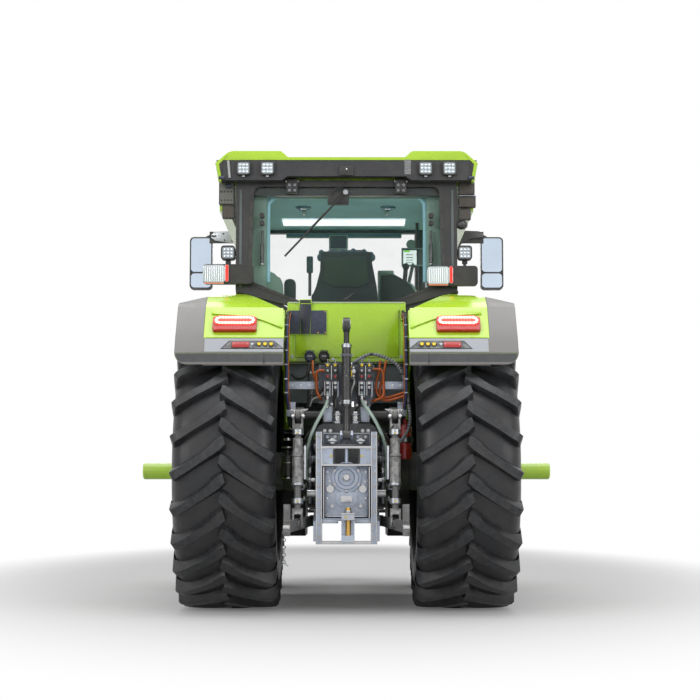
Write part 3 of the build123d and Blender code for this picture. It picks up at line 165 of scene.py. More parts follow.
def build_grain(tree, inside, outside):
    """Height of a fine grain, from orange peel to cast iron, with a few larger dents."""
    fine = noise(tree, inside["Scale"], 3.0, 0.6)
    coarse = noise(tree, 9.0, 2.0)
    height = math(tree, "ADD", fine, math(tree, "MULTIPLY", coarse, inside["Dents"]))
    bump = node(tree, "ShaderNodeBump", {"Strength": inside["Strength"], "Distance": 0.004, "Height": height})
    tree.links.new(bump.outputs["Normal"], outside["Normal"])


COLOR, FLOAT, VECTOR = "NodeSocketColor", "NodeSocketFloat", "NodeSocketVector"
weathering = group(
    "weathering",
    [("Color", COLOR, (0.5, 0.5, 0.5, 1)), ("Drift Scale", FLOAT, 2.0), ("Drift", FLOAT, 0.1), ("Dust", FLOAT, 0.2),
     ("Dust Color", COLOR, (0.32, 0.28, 0.22, 1)), ("Wear", FLOAT, 0.2), ("Bare Color", COLOR, (0.4, 0.4, 0.4, 1)),
     ("Roughness", FLOAT, 0.4), ("Smear", FLOAT, 0.06)],
    [("Color", COLOR), ("Roughness", FLOAT)],
    build_weathering,
)
grain = group(
    "grain",
    [("Scale", FLOAT, 300.0), ("Dents", FLOAT, 0.2), ("Strength", FLOAT, 0.2)],
    [("Normal", VECTOR)],
    build_grain,
)


# Materials


def new_material(name):
    """A material with its node tree and its shader."""
    made = bpy.data.materials.new(name)
    made.use_nodes = True
    return made, made.node_tree, made.node_tree.nodes["Principled BSDF"]


def set_inputs(made, values):
    for key, value in values.items():
        made.inputs[key].default_value = value


def material(name, color, rough=0.4, metal=0.0, dust=0.2, wear=0.1, bare=(0.35, 0.35, 0.36), drift=0.1,
             grain_scale=400.0, bump=0.05, dents=0.1, **sockets):
    """A weathered finish. Extra values go to the shader's own sockets."""
    made, tree, shader = new_material(name)
    weather = node(tree, "ShaderNodeGroup", node_tree=weathering)
    set_inputs(weather, {"Color": (*color, 1), "Dust": dust, "Wear": wear, "Bare Color": (*bare, 1), "Roughness": rough,
                         "Drift": drift})
    surface = node(tree, "ShaderNodeGroup", node_tree=grain)
    set_inputs(surface, {"Scale": grain_scale, "Dents": dents, "Strength": bump})
    tree.links.new(weather.outputs["Color"], shader.inputs["Base Color"])
    tree.links.new(weather.outputs["Roughness"], shader.inputs["Roughness"])
    tree.links.new(surface.outputs["Normal"], shader.inputs["Normal"])
    set_inputs(shader, {"Metallic": metal, **{key.replace("_", " "): value for key, value in sockets.items()}})
    made.diffuse_color = (*color, 1)
    return made


def clear(name, color, alpha, rough=0.02):
    """Thin tinted glass or clear plastic, with faint smears."""
    made, tree, shader = new_material(name)
    smears = spread(tree, noise(tree, 6.0, 6.0, 0.7), 0.35, 0.8, rough, rough + 0.12)
    tree.links.new(smears, shader.inputs["Roughness"])
    tone = spread(tree, noise(tree, 1.5), 0.3, 0.7, 0.94, 1.06)
    tint = node(tree, "ShaderNodeHueSaturation", {"Value": tone, "Color": (*color, 1)}).outputs["Color"]
    tree.links.new(tint, shader.inputs["Base Color"])
    film = spread(tree, noise(tree, 3.0, 5.0, 0.7), 0.4, 0.75, alpha, min(1.0, alpha + 0.03))
    tree.links.new(film, shader.inputs["Alpha"])
    made.diffuse_color = (*color, alpha)
    return made


def glow(name, color, strength):
    """A lit lens, brighter in places."""
    made, tree, shader = new_material(name)
    tone = spread(tree, noise(tree, 60.0), 0.3, 0.7, 0.85, 1.1)
    lit = node(tree, "ShaderNodeHueSaturation", {"Value": tone, "Color": (*color, 1)}).outputs["Color"]
    tree.links.new(lit, shader.inputs["Emission Color"])
    tree.links.new(lit, shader.inputs["Base Color"])
    set_inputs(shader, {"Emission Strength": strength, "Roughness": 0.15})
    made.diffuse_color = (*color, 1)
    return made


LIME = (0.43, 0.68, 0.022)
lime = material("lime_paint", LIME, 0.25, dust=0.10, wear=0.0, drift=0.05, bump=0.02, Coat_Weight=0.6,
                Coat_Roughness=0.08)
lime_wheel = material("lime_wheel_paint", (0.42, 0.66, 0.022), 0.3, dust=0.35, wear=0.15, drift=0.07, bump=0.03,
                      Coat_Weight=0.4)
casting = material("casting_paint", (0.055, 0.060, 0.066), 0.5, dust=0.5, wear=0.5, drift=0.3, grain_scale=220.0,
                   bump=0.35, dents=0.6)
engine_paint = material("engine_paint", (0.05, 0.053, 0.056), 0.5, dust=0.3, wear=0.3, grain_scale=200.0, bump=0.3)
hitch_paint = material("hitch_paint", (0.42, 0.48, 0.59), 0.3, metal=0.55, dust=0.25, wear=0.7, bare=(0.6, 0.6, 0.62),
                       drift=0.35, grain_scale=260.0, bump=0.2, dents=0.5)
link_paint = material("link_paint", (0.13, 0.13, 0.132), 0.42, metal=0.2, dust=0.4, wear=0.7, bare=(0.5, 0.5, 0.5),
                      drift=0.3, grain_scale=260.0, bump=0.2, dents=0.4)
bright_steel = material("bright_steel", (0.55, 0.55, 0.56), 0.25, metal=1.0, dust=0.2, wear=0.3, drift=0.15, bump=0.06)
black_paint = material("black_paint", (0.022, 0.023, 0.025), 0.36, dust=0.22, wear=0.25, drift=0.15, bump=0.05,
                       Coat_Weight=0.2)
roof_plastic = material("roof_plastic", (0.030, 0.031, 0.036), 0.42, dust=0.25, wear=0.05, grain_scale=700.0, bump=0.15)
fender_plastic = material("fender_plastic", (0.19, 0.185, 0.18), 0.42, dust=0.15, wear=0.05, drift=0.12,
                          grain_scale=800.0, bump=0.12)
black_plastic = material("black_plastic", (0.016, 0.016, 0.017), 0.45, dust=0.25, wear=0.1, grain_scale=700.0,
                         bump=0.15)
trim_plastic = material("trim_plastic", (0.12, 0.145, 0.15), 0.55, dust=0.1, wear=0.05, grain_scale=600.0, bump=0.15)
seat_cloth = material("seat_cloth", (0.035, 0.045, 0.05), 0.85, dust=0.15, wear=0.0, drift=0.2, grain_scale=1200.0,
                      bump=0.6, Sheen_Weight=0.3)
rubber = material("tyre_rubber", (0.0115, 0.0125, 0.0155), 0.42, dust=0.10, wear=0.30, bare=(0.085, 0.09, 0.095),
                  drift=0.35, grain_scale=180.0, bump=0.2, dents=0.5)
hose_rubber = material("hose_rubber", (0.022, 0.022, 0.023), 0.5, dust=0.3, wear=0.1, grain_scale=900.0, bump=0.3)
red_enamel = material("red_enamel", (0.42, 0.012, 0.014), 0.25, dust=0.15, wear=0.1, Coat_Weight=0.5)
plate_paint = material("plate_paint", (0.028, 0.035, 0.075), 0.4, dust=0.1, wear=0.1)
zinc = material("zinc_plate", (0.42, 0.44, 0.47), 0.32, metal=0.9, dust=0.25, wear=0.3, drift=0.3, bump=0.1)
valve_steel = material("valve_steel", (0.075, 0.085, 0.105), 0.35, metal=0.5, dust=0.25, wear=0.5,
                       bare=(0.5, 0.5, 0.52), drift=0.3, bump=0.15)
# pale blue cloth, its colour made brighter than the cloth to stand in for light that does not reach into the cab:
# partly painted light
sky_liner_with_painted_light = material("sky_liner_with_painted_light", (0.42, 0.78, 0.92), 0.7, dust=0.05, wear=0.0, drift=0.3, bump=0.15, dents=1.5)
glass = clear("tinted_glass", (0.12, 0.26, 0.22), alpha=0.03)
lens = clear("clear_lens", (0.78, 0.8, 0.83), rough=0.08, alpha=0.75)
red_lens = material("red_lens", (0.42, 0.008, 0.006), 0.3, dust=0.03, wear=0.0, grain_scale=900.0, bump=0.1,
                    Coat_Weight=0.25)
reflector = material("lamp_reflector", (0.42, 0.47, 0.50), 0.2, metal=0.6, dust=0.05, wear=0.0, bump=0.02)
diode = glow("lamp_diode", (0.93, 0.95, 1.0), 0.75)
red_glow = glow("tail_glow", (0.9, 0.035, 0.02), 0.6)
hot_diode = glow("tail_diode", (1.0, 0.72, 0.58), 1.35)
amber = material("amber_lens", (0.85, 0.16, 0.015), 0.12, dust=0.03, wear=0.0, Coat_Weight=1.0)
yellow = material("yellow_button", (0.85, 0.62, 0.02), 0.3, dust=0.05, wear=0.0)
gold = material("yellow_zinc", (0.62, 0.38, 0.10), 0.28, metal=0.9, dust=0.1, wear=0.1)
ribbed_lens = material("ribbed_lens", (0.55, 0.60, 0.62), 0.10, metal=0.25, dust=0.03, wear=0.0, bump=0.04,
                       Coat_Weight=1.0)
mirror_glass = material("mirror_glass", (0.62, 0.72, 0.85), 0.04, metal=0.85, dust=0.04, wear=0.0, bump=0.0)
orange_hose = material("orange_hose", (0.55, 0.12, 0.02), 0.45, dust=0.15, wear=0.05, bump=0.1)
pale_hose = material("pale_hose", (0.50, 0.64, 0.56), 0.4, dust=0.15, wear=0.1, bump=0.1)
screen_light = glow("screen_light", (0.80, 0.93, 0.90), 0.7)
green_screen = glow("screen_bar", (0.25, 0.75, 0.10), 0.6)
strip_light = glow("light_bar", (0.93, 0.98, 1.0), 1.0)
seat_green = material("seat_back", (0.035, 0.060, 0.045), 0.8, dust=0.1, wear=0.0, grain_scale=1200.0, bump=0.5)
# light grey of the panel, lifted further: partly the panel's own grey, partly a painted highlight on its upward-tilted
# face
panel_grey_and_highlight = material("panel_grey_and_highlight", (0.36, 0.38, 0.42), 0.35, dust=0.08, wear=0.0, bump=0.04, Coat_Weight=0.2)
band_grey = material("band_grey", (0.085, 0.09, 0.095), 0.45, dust=0.12, wear=0.05)
exhaust_hole = material("exhaust_hole", (0.005, 0.005, 0.005), 0.8, dust=0.05, wear=0.0)
teal_trim = material("teal_trim", (0.26, 0.40, 0.34), 0.5, dust=0.08, wear=0.0, bump=0.08)
plate_dark = material("plate_holder_dark", (0.014, 0.017, 0.035), 0.4, dust=0.1, wear=0.05)
wire_blue = material("blue_wire", (0.03, 0.06, 0.30), 0.4, dust=0.05, wear=0.0)
conduit_grey = material("conduit_grey", (0.20, 0.21, 0.23), 0.4, dust=0.2, wear=0.2, bare=(0.3, 0.3, 0.32))
plate_grey = material("pale_plastic", (0.42, 0.43, 0.42), 0.45, dust=0.2, wear=0.05)
vent_grey = material("vent_grey", (0.15, 0.155, 0.14), 0.5, dust=0.4, wear=0.1, drift=0.4)
vent_brown = material("vent_brown", (0.050, 0.042, 0.032), 0.5, dust=0.35, wear=0.1, drift=0.3)
lamp_ring = material("ceiling_lamp", (0.10, 0.22, 0.30), 0.3, metal=0.3, dust=0.02, wear=0.0)
deep_blue = material("header_blue", (0.10, 0.22, 0.30), 0.6, dust=0.05, wear=0.0, drift=0.3)
visor_grey = material("visor_grey", (0.05, 0.065, 0.085), 0.6, dust=0.05, wear=0.0)
pale_teal = material("pale_teal", (0.30, 0.48, 0.40), 0.5, dust=0.05, wear=0.0, drift=0.15)
deep_grey = material("console_grey", (0.030, 0.040, 0.040), 0.6, dust=0.1, wear=0.0, drift=0.2)
teal_dark = material("teal_dark", (0.020, 0.055, 0.060), 0.6, dust=0.05, wear=0.0)
fringe = material("fleece", (0.07, 0.13, 0.17), 0.95, dust=0.05, wear=0.0, grain_scale=500.0, bump=1.0,
                  Sheen_Weight=0.6)

NODE_FINISH = {
    lime: ("hood", "roof", "fenders", "rear_panel"),
    lime_wheel: ("rear_rim_left", "rear_rim_right", "front_rim_left", "front_rim_right", "bar_axle_left",
                 "bar_axle_right"),
    casting: ("transmission", "front_axle", "front_frame", "knuckle_left", "knuckle_right"),
    engine_paint: ("engine", "front_weights"),
    hitch_paint: ("hitch_frame", "drawbar"),
    link_paint: ("lift_arms", "lift_rods", "lower_links", "tie_rod"),
    bright_steel: ("pto_shaft",),
    black_paint: ("cab_frame", "door_left", "door_right", "rear_window_frame", "steps", "exhaust", "top_link",
                  "accumulator"),
    roof_plastic: ("roof_panel",),
    fender_plastic: ("fender_extensions",),
    black_plastic: ("radiator", "fuel_tanks", "grille", "steering_wheel", "mirrors", "work_lamps", "indicators"),
    trim_plastic: ("cab_floor", "consoles"),
    sky_liner_with_painted_light: ("headliner",),
    seat_cloth: ("seat",),
    rubber: ("rear_tyre_left", "rear_tyre_right", "front_tyre_left", "front_tyre_right"),
    red_enamel: ("fire_extinguisher",),
    plate_paint: ("plate_holder",),
    valve_steel: ("valve_block",),
    glass: ("cab_glass", "door_glass_left", "door_glass_right"),
    red_lens: ("tail_lamps",),
    hose_rubber: ("hydraulic_hoses", "conduit"),
}
for finish, names in NODE_FINISH.items():
    for name in names:
        if name in frame["nodes"]:
            for place in frame["nodes"][name].material_slots:
                place.material = finish


# Mesh tools


class Shape:
    """A mesh that grows part by part, each part with its own material."""

    def __init__(self):
        self.mesh = bmesh.new()
        self.finishes = []

    def add(self, verts, faces, finish):
        if finish not in self.finishes:
            self.finishes.append(finish)
        made = [self.mesh.verts.new(v) for v in verts]
        new = [self.mesh.faces.new([made[i] for i in f]) for f in faces]
        for f in new:
            f.material_index = self.finishes.index(finish)
            f.smooth = True
        return made, new

    def _round(self, faces, width, segments):
        if width:
            edges = list({e for f in faces for e in f.edges})
            bmesh.ops.bevel(self.mesh, geom=edges, offset=width, segments=segments, affect="EDGES", profile=0.6,
                            clamp_overlap=True)

    def prism(self, outline, place, depth, finish, bevel=0.002, segments=2):
        """That flat outline, drawn on place's XY, extruded along its Z."""
        n = len(outline)
        verts = [place @ Vector((x, y, z)) for z in (0, depth) for x, y in outline]
        faces = [list(range(n))[::-1], list(range(n, 2 * n))]
        faces += [[i, (i + 1) % n, (i + 1) % n + n, i + n] for i in range(n)]
        self._round(self.add(verts, faces, finish)[1], bevel, segments)

    def block(self, low, high, finish, bevel=0.003, turn=None):
        """A box between two corners, turned about its middle by a matrix."""
        low, high = spot(low), spot(high)
        middle, size = (low + high) / 2, high - low
        place = Matrix.Translation(middle) @ (turn or Matrix()) @ Matrix.Translation(-size / 2)
        outline = [(0, 0), (size.x, 0), (size.x, size.y), (0, size.y)]
        self.prism(outline, place, size.z, finish, bevel)

    def lathe(self, profile, place, finish, steps=32, closed=False):
        """That (radius, height) profile turned about place's Z."""
        verts = []
        for k in range(steps):
            a = 2 * pi * k / steps
            verts += [place @ Vector((r * cos(a), r * sin(a), h)) for r, h in profile]
        n = len(profile)
        faces = []
        for k in range(steps):
            for i in range(n if closed else n - 1):
                j = (i + 1) % n
                m = (k + 1) % steps
                faces.append([k * n + i, m * n + i, m * n + j, k * n + j])
        made = self.add(verts, faces, finish)[0]
        if not closed:
            for i in (0, n - 1):
                if profile[i][0] < 1e-6:
                    ring = [made[k * n + i] for k in range(steps)]
                    bmesh.ops.pointmerge(self.mesh, verts=ring, merge_co=place @ Vector((0, 0, profile[i][1])))

    def rod(self, start, end, radius, finish, end_radius=None, steps=20, edge=0.1):
        """A round bar with closed, lightly chamfered ends."""
        start, end = spot(start), spot(end)
        far = radius if end_radius is None else end_radius
        length = (end - start).length
        place = Matrix.Translation(start) @ (end - start).to_track_quat("Z", "Y").to_matrix().to_4x4()
        cut = min(edge * min(radius, far), length / 3)
        profile = [(0, 0), (radius - cut, 0), (radius, cut), (far, length - cut), (far - cut, length), (0, length)]
        self.lathe(profile, place, finish, steps)

    def bar(self, span, radius, finish, **more):
        """A round bar along one axis, on which span has a pair of values."""
        start, end = (tuple(v[k] if isinstance(v, tuple) else v for v in span) for k in (0, 1))
        self.rod(start, end, radius, finish, **more)

    def hoop(self, place, radius, wire, finish, steps, fine):
        """A closed ring of round wire about place's Z."""
        turns = [2 * pi * k / fine for k in range(fine)]
        self.lathe([(radius + wire * cos(a), wire * sin(a)) for a in turns], place, finish, steps, closed=True)

    def plate(self, outline, forward, depth, finish, bevel=0.002, segments=2, side=1):
        """A flat piece that faces back, from its outline in X and Z; side -1 is its mirror image."""
        flat = [(side * x, z) for x, z in outline]
        self.prism(flat[::-side], back_of(0, forward, 0), depth, finish, bevel, segments)

    def ball(self, centre, radius, finish, steps=20, squash=1.0):
        turns = [pi * k / 10 for k in range(11)]
        profile = [(radius * sin(a), -radius * squash * cos(a)) for a in turns]
        profile[0], profile[-1] = (0, profile[0][1]), (0, profile[-1][1])
        self.lathe(profile, Matrix.Translation(spot(centre)), finish, steps)

    def pipe(self, points, radius, finish, steps=12, fine=6, ridges=None):
        """A round hose or tube through those points on a smooth line; ridges is (pitch, depth)."""
        line = smooth_line([spot(p) for p in points], fine)
        if ridges:
            line = even_line(line, ridges[0] / 2)
        normal = (line[1] - line[0]).orthogonal().normalized()
        verts, faces = [], []
        for k, here in enumerate(line):
            along = (line[min(k + 1, len(line) - 1)] - line[max(k - 1, 0)]).normalized()
            normal = (normal - along * normal.dot(along)).normalized()
            side = along.cross(normal)
            r = radius - (ridges[1] if ridges and k % 2 else 0)
            verts += [here + (normal * cos(2 * pi * i / steps) + side * sin(2 * pi * i / steps)) * r
                      for i in range(steps)]
        for k in range(len(line) - 1):
            for i in range(steps):
                j = (i + 1) % steps
                faces.append([k * steps + i, k * steps + j, (k + 1) * steps + j, (k + 1) * steps + i])
        faces += [list(range(steps))[::-1], list(range((len(line) - 1) * steps, len(line) * steps))]
        self.add(verts, faces, finish)

    def copy(self, other, finish):
        """Adds an object's mesh."""
        self.add([v.co.copy() for v in other.data.vertices], [list(p.vertices) for p in other.data.polygons], finish)

    def finish(self, name, body, slot, *nodes, angle=SMOOTH_ANGLE):
        """Makes the object, rides it on that body and hides the nodes it stands for."""
        bmesh.ops.recalc_face_normals(self.mesh, faces=self.mesh.faces)
        data = bpy.data.meshes.new(name)
        self.mesh.to_mesh(data)
        self.mesh.free()
        for finish in self.finishes:
            data.materials.append(finish)
        data.set_sharp_from_angle(angle=angle)
        made = new_object(name, data)
        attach(made, body)
        if nodes:
            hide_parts(*nodes)
        return made


def smooth_line(points, fine):
    """Those points with a smooth line through them."""
    if len(points) < 3:
        return points
    line = []
    ends = [2 * points[0] - points[1], *points, 2 * points[-1] - points[-2]]
    for k in range(1, len(ends) - 2):
        a, b, c, d = ends[k - 1:k + 3]
        for i in range(fine):
            t = i / fine
            line.append(0.5 * (2 * b + (c - a) * t + (2 * a - 5 * b + 4 * c - d) * t * t
                               + (3 * b - a - 3 * c + d) * t * t * t))
    return [*line, points[-1]]


def even_line(line, step):
    """That line cut into even steps."""
    made, left = [line[0]], step
    for a, b in zip(line, line[1:]):
        length = (b - a).length
        while left <= length:
            made.append(a.lerp(b, left / length))
            left += step
        left -= length
    return made


def facing(origin, normal, up=(0, 0, 1)):
    """A frame whose Z is that normal and whose Y is as near up as it can be."""
    z = Vector(normal).normalized()
    x = Vector(up).cross(z).normalized()
    y = z.cross(x)
    return Matrix.Translation(Vector(origin)) @ Matrix((x, y, z)).transposed().to_4x4()


BACK, AHEAD = (0, -1, 0), (0, 1, 0)


def back_of(x, forward, z):
    """A frame on a surface that faces back: X to the right, Y up, Z rearwards."""
    return facing((x, at(forward), z), BACK)


def rounded(width, height, radius, steps=4, x=0.0, y=0.0):
    """Outline of a rectangle with round corners about (x, y)."""
    made = []
    for k, (cx, cy) in enumerate(((1, 1), (-1, 1), (-1, -1), (1, -1))):
        for i in range(steps + 1):
            a = pi / 2 * (k + i / steps)
            made.append((x + cx * (width / 2 - radius) + radius * cos(a),
                         y + cy * (height / 2 - radius) + radius * sin(a)))
    return made


def welded(name):
    """The mesh of a CAD node with its facets joined at their corners."""
    mesh = bmesh.new()
    mesh.from_mesh(frame["nodes"][name].data)
    bmesh.ops.remove_doubles(mesh, verts=mesh.verts, dist=WELD)
    return mesh


def polish(name):
    """A copy of a CAD node with its facets joined, its edges rounded and its normals smooth."""
    source = frame["nodes"][name]
    shape = welded(name)
    bmesh.ops.dissolve_limit(shape, angle_limit=FLAT_ANGLE, verts=shape.verts, edges=shape.edges)
    data = bpy.data.meshes.new(f"{name}_finish")
    shape.to_mesh(data)
    shape.free()
    data.materials.clear()
    data.materials.append(source.material_slots[0].material)
    for face in data.polygons:
        face.use_smooth = True
        face.material_index = 0
    data.set_sharp_from_angle(angle=SMOOTH_ANGLE)
    made = new_object(f"{name}_finish", data)
    rounding = made.modifiers.new("edges", "BEVEL")
    rounding.width = EDGE_WIDTH
    rounding.segments = 2
    rounding.limit_method = "ANGLE"
    rounding.angle_limit = EDGE_ANGLE
    rounding.harden_normals = False
    rounding.use_clamp_overlap = True
    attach(made, source["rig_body"])
    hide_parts(name)
    return made


# Geometry Nodes: one part repeated round an axle


def ring_tree():
    """Copies the input geometry round the X axis through a centre, and gives it one material."""
    tree = bpy.data.node_groups.new("ring_of_parts", "GeometryNodeTree")
    tree.interface.new_socket("Geometry", in_out="INPUT", socket_type="NodeSocketGeometry")
    for label, kind in (("Count", "NodeSocketInt"), ("Step", FLOAT), ("Centre", VECTOR),
                        ("Material", "NodeSocketMaterial")):
        tree.interface.new_socket(label, in_out="INPUT", socket_type=kind)
    tree.interface.new_socket("Geometry", in_out="OUTPUT", socket_type="NodeSocketGeometry")
    inside = node(tree, "NodeGroupInput").outputs
    outside = node(tree, "NodeGroupOutput").inputs
    points = node(tree, "GeometryNodePoints", {"Count": inside["Count"], "Position": inside["Centre"]})
    angle = math(tree, "MULTIPLY", node(tree, "GeometryNodeInputIndex").outputs[0], inside["Step"])
    turn = node(tree, "ShaderNodeCombineXYZ", {"X": angle})
    copies = node(tree, "GeometryNodeInstanceOnPoints", {"Points": points.outputs[0], "Instance": inside["Geometry"]})
    tree.links.new(turn.outputs[0], copies.inputs["Rotation"])
    real = node(tree, "GeometryNodeRealizeInstances", {"Geometry": copies.outputs[0]})
    painted = node(tree, "GeometryNodeSetMaterial", {"Geometry": real.outputs[0], "Material": inside["Material"]})
    tree.links.new(painted.outputs[0], outside["Geometry"])
    return tree


RING = ring_tree()


def ring_of(shape, count, centre, finish):
    """That shape, made about the origin, repeated round an X axis through centre, as one plain mesh object."""
    data = bpy.data.meshes.new("ring")
    bmesh.ops.recalc_face_normals(shape.mesh, faces=shape.mesh.faces)
    shape.mesh.to_mesh(data)
    shape.mesh.free()
    part = new_object("ring", data)
    nodes = part.modifiers.new("ring", "NODES")
    sockets = {s.name: s.identifier for s in RING.interface.items_tree if s.in_out == "INPUT"}
    nodes.node_group = RING
    nodes[sockets["Count"]] = count
    nodes[sockets["Step"]] = 2 * pi / count
    nodes[sockets["Centre"]] = centre
    nodes[sockets["Material"]] = finish
    seen = part.evaluated_get(bpy.context.evaluated_depsgraph_get())
    whole = bpy.data.meshes.new_from_object(seen)
    part.modifiers.clear()
    part.data = whole
    return part


# Tyres

TYRE_SECTION = [  # across as a share of half the width, height as a share of the radius
    (0.0, 0.946), (0.30, 0.945), (0.58, 0.941), (0.76, 0.932), (0.86, 0.912), (0.93, 0.880), (0.975, 0.83),
    (0.998, 0.77), (0.99, 0.70), (0.95, 0.64), (0.86, 0.595), (0.76, 0.575),
]
LUG_LINE = [  # along a lug: across as a share of half the width, share of its fall round the tyre, top width, height
    (-0.045, 0.00, 1.15, 1.0), (0.02, 0.055, 1.35, 1.0), (0.10, 0.155, 1.32, 1.0), (0.20, 0.28, 1.12, 1.0),
    (0.34, 0.43, 1.0, 1.0), (0.50, 0.58, 0.97, 1.0), (0.66, 0.73, 0.98, 1.0), (0.80, 0.86, 1.0, 0.99),
    (0.90, 0.94, 1.02, 0.96), (0.955, 0.985, 1.04, 0.86), (0.985, 1.0, 1.06, 0.60), (0.997, 1.01, 1.1, 0.05),
]


def tread_height(across, half, radius, root):
    """Height of the tyre's surface at that distance from its middle, or of the tops of its lugs."""
    share = min(abs(across) / half, 0.999)
    for (u0, r0), (u1, r1) in zip(TYRE_SECTION, TYRE_SECTION[1:]):
        if u0 <= share <= u1:
            floor = radius * (r0 + (r1 - r0) * (share - u0) / (u1 - u0))
            break
    crown = radius * (1.0 - 0.012 * share * share)
    return floor if root else crown


def lug(side, half, radius, fall, thickness, turn):
    """One lug about the axle's centre: a curved bar with sloping flanks and chamfered upper edges."""
    shape = Shape()
    line = [(share * half, drop * fall, width * thickness, height) for share, drop, width, height in LUG_LINE]
    verts = []
    for k, (x, t, width, height) in enumerate(line):
        before, after = line[max(k - 1, 0)], line[min(k + 1, len(line) - 1)]
        dx, dt = after[0] - before[0], after[1] - before[1]
        nx, nt = -dt / hypot(dx, dt), dx / hypot(dx, dt)
        if k < 2:
            nx, nt = -0.25, 0.97
        root = tread_height(x, half, radius, True) - 0.012
        top = tread_height(x, half, radius, False)
        top = root + (top - root) * height
        for reach, level in ((-0.76, root), (-0.5, top - 0.007), (-0.44, top), (0.44, top), (0.5, top - 0.007),
                             (0.76, root)):
            px = x + nx * width * reach
            if abs(px) > 0.999 * half:
                px = 0.999 * half if px > 0 else -0.999 * half
            angle = turn + (t + nt * width * reach) / radius
            verts.append(Vector((side * px, level * cos(angle), level * sin(angle))))
    faces = []
    for k in range(len(line) - 1):
        for i in range(5):
            faces.append([k * 6 + i, k * 6 + i + 1, (k + 1) * 6 + i + 1, (k + 1) * 6 + i])
        faces.append([k * 6 + 5, k * 6, (k + 1) * 6, (k + 1) * 6 + 5])
    last = 6 * (len(line) - 1)
    faces += [list(range(6))[::-1], list(range(last, last + 6))]
    shape.add(verts, faces, rubber)
    return shape


def tyre(name, body, centre, radius, width, rim, lugs):
    """Tyre with a rounded carcass, moulded side rings and two staggered rows of lugs."""
    half = width / 2
    side = 1 if centre.x > 0 else -1
    shape = Shape()
    section = [(r * radius, u * half) for u, r in TYRE_SECTION]
    section += [(rim + 0.03, 0.76 * half), (rim + 0.004, 0.735 * half), (rim + 0.004, 0.0)]
    outline = section + [(r, -h) for r, h in section[-2:0:-1]]
    place = Matrix.Translation(centre) @ Matrix.Rotation(side * pi / 2, 4, "Y")
    shape.lathe(outline, place, rubber, steps=120, closed=True)
    for level in (0.665, 0.715):
        for end in (-1, 1):
            wall = 0.985 * half if level > 0.69 else 0.962 * half
            ring = [(level * radius - 0.004, end * (wall - 0.008)), (level * radius - 0.003, end * (wall + 0.004)),
                    (level * radius + 0.003, end * (wall + 0.004)), (level * radius + 0.004, end * (wall - 0.008))]
            shape.lathe(ring, place, rubber, steps=96, closed=True)
    pitch = 2 * pi / lugs
    for row, offset in ((-1, 0.25), (1, 0.75)):
        one = lug(row * side, half, radius, 0.98 * pitch * radius, 0.062 * radius, (offset - 0.5) * pitch)
        copies = ring_of(one, lugs, centre, rubber)
        shape.copy(copies, rubber)
        bpy.data.objects.remove(copies)
    shape.finish(name + "_tread", body, "tyre_rubber", name, angle=radians(38))


def wheel_centre(x, axle):
    return Vector((x, axle.y, axle.z))


for side, word in ((-1, "left"), (1, "right")):
    tyre(f"rear_tyre_{word}", f"rear_wheel_{word}", wheel_centre(side * REAR_WHEEL_X, REAR_AXLE), 1.0, 0.72, 0.533, 24)
    tyre(f"front_tyre_{word}", f"front_wheel_{word}", wheel_centre(side * FRONT_WHEEL_X, FRONT_AXLE), 0.8, 0.6, 0.432,
         18)

OWN_PIECES = ("hydraulic_hoses", "conduit")  # made further down
for name in frame["nodes"]:
    if "tyre" not in name and "glass" not in name and name not in OWN_PIECES:
        made = polish(name)


# Lamps and their lenses


def screw(shape, place, radius, finish, height=0.006):
    """A hexagon head with its washer on that frame's surface."""
    shape.lathe([(0, 0), (1.5 * radius, 0), (1.5 * radius, 0.002), (0, 0.002)], place, zinc, 16)
    hexagon = [(radius * cos(pi / 3 * k), radius * sin(pi / 3 * k)) for k in range(6)]
    shape.prism(hexagon, place @ Matrix.Translation((0, 0, 0.002)), height, finish, 0.0008, 1)


def ring_outline(width, height, radius, border, steps=6):
    """Outer and inner outline of a frame with round corners."""
    return rounded(width, height, radius, steps), rounded(width - 2 * border, height - 2 * border, radius - border,
                                                          steps)


def frame_shape(shape, width, height, radius, border, place, depth, finish):
    """A frame with round corners, standing up from that surface."""
    outer, inner = ring_outline(width, height, radius, border)
    n = len(outer)
    verts = []
    for outline, level in ((outer, 0), (outer, depth * 0.8), (outer, depth), (inner, depth), (inner, 0)):
        shrink = 0.0015 if outline is outer and level == depth else 0
        verts += [place @ Vector((x - (shrink if x > 0 else -shrink), y - (shrink if y > 0 else -shrink), level))
                  for x, y in outline]
    faces = []
    for ring in range(4):
        for i in range(n):
            j = (i + 1) % n
            faces.append([ring * n + i, ring * n + j, (ring + 1) * n + j, (ring + 1) * n + i])
    shape.add(verts, faces, finish)


def work_lamp(shape, place, side=0.106):
    """Square lamp: round-cornered bezel, and reflector with nine diodes."""
    frame_shape(shape, side, side, 0.022, 0.010, place, 0.008, black_plastic)
    shape.prism(rounded(side - 0.02, side - 0.02, 0.013), place @ Matrix.Translation((0, 0, -0.004)), 0.005,
                reflector, 0)
    for i in (-1, 0, 1):
        for j in (-1, 0, 1):
            cup = place @ Matrix.Translation((0.026 * i, 0.026 * j, 0.001))
            shape.lathe([(0.0115, 0.0), (0.0125, 0.003), (0.011, 0.004), (0.006, 0.0015), (0, 0.001)], cup, reflector,
                        14)
            shape.lathe([(0.0048, 0.0005), (0.0035, 0.004), (0, 0.005)], cup, diode, 10)


PANEL_REAR = -0.145

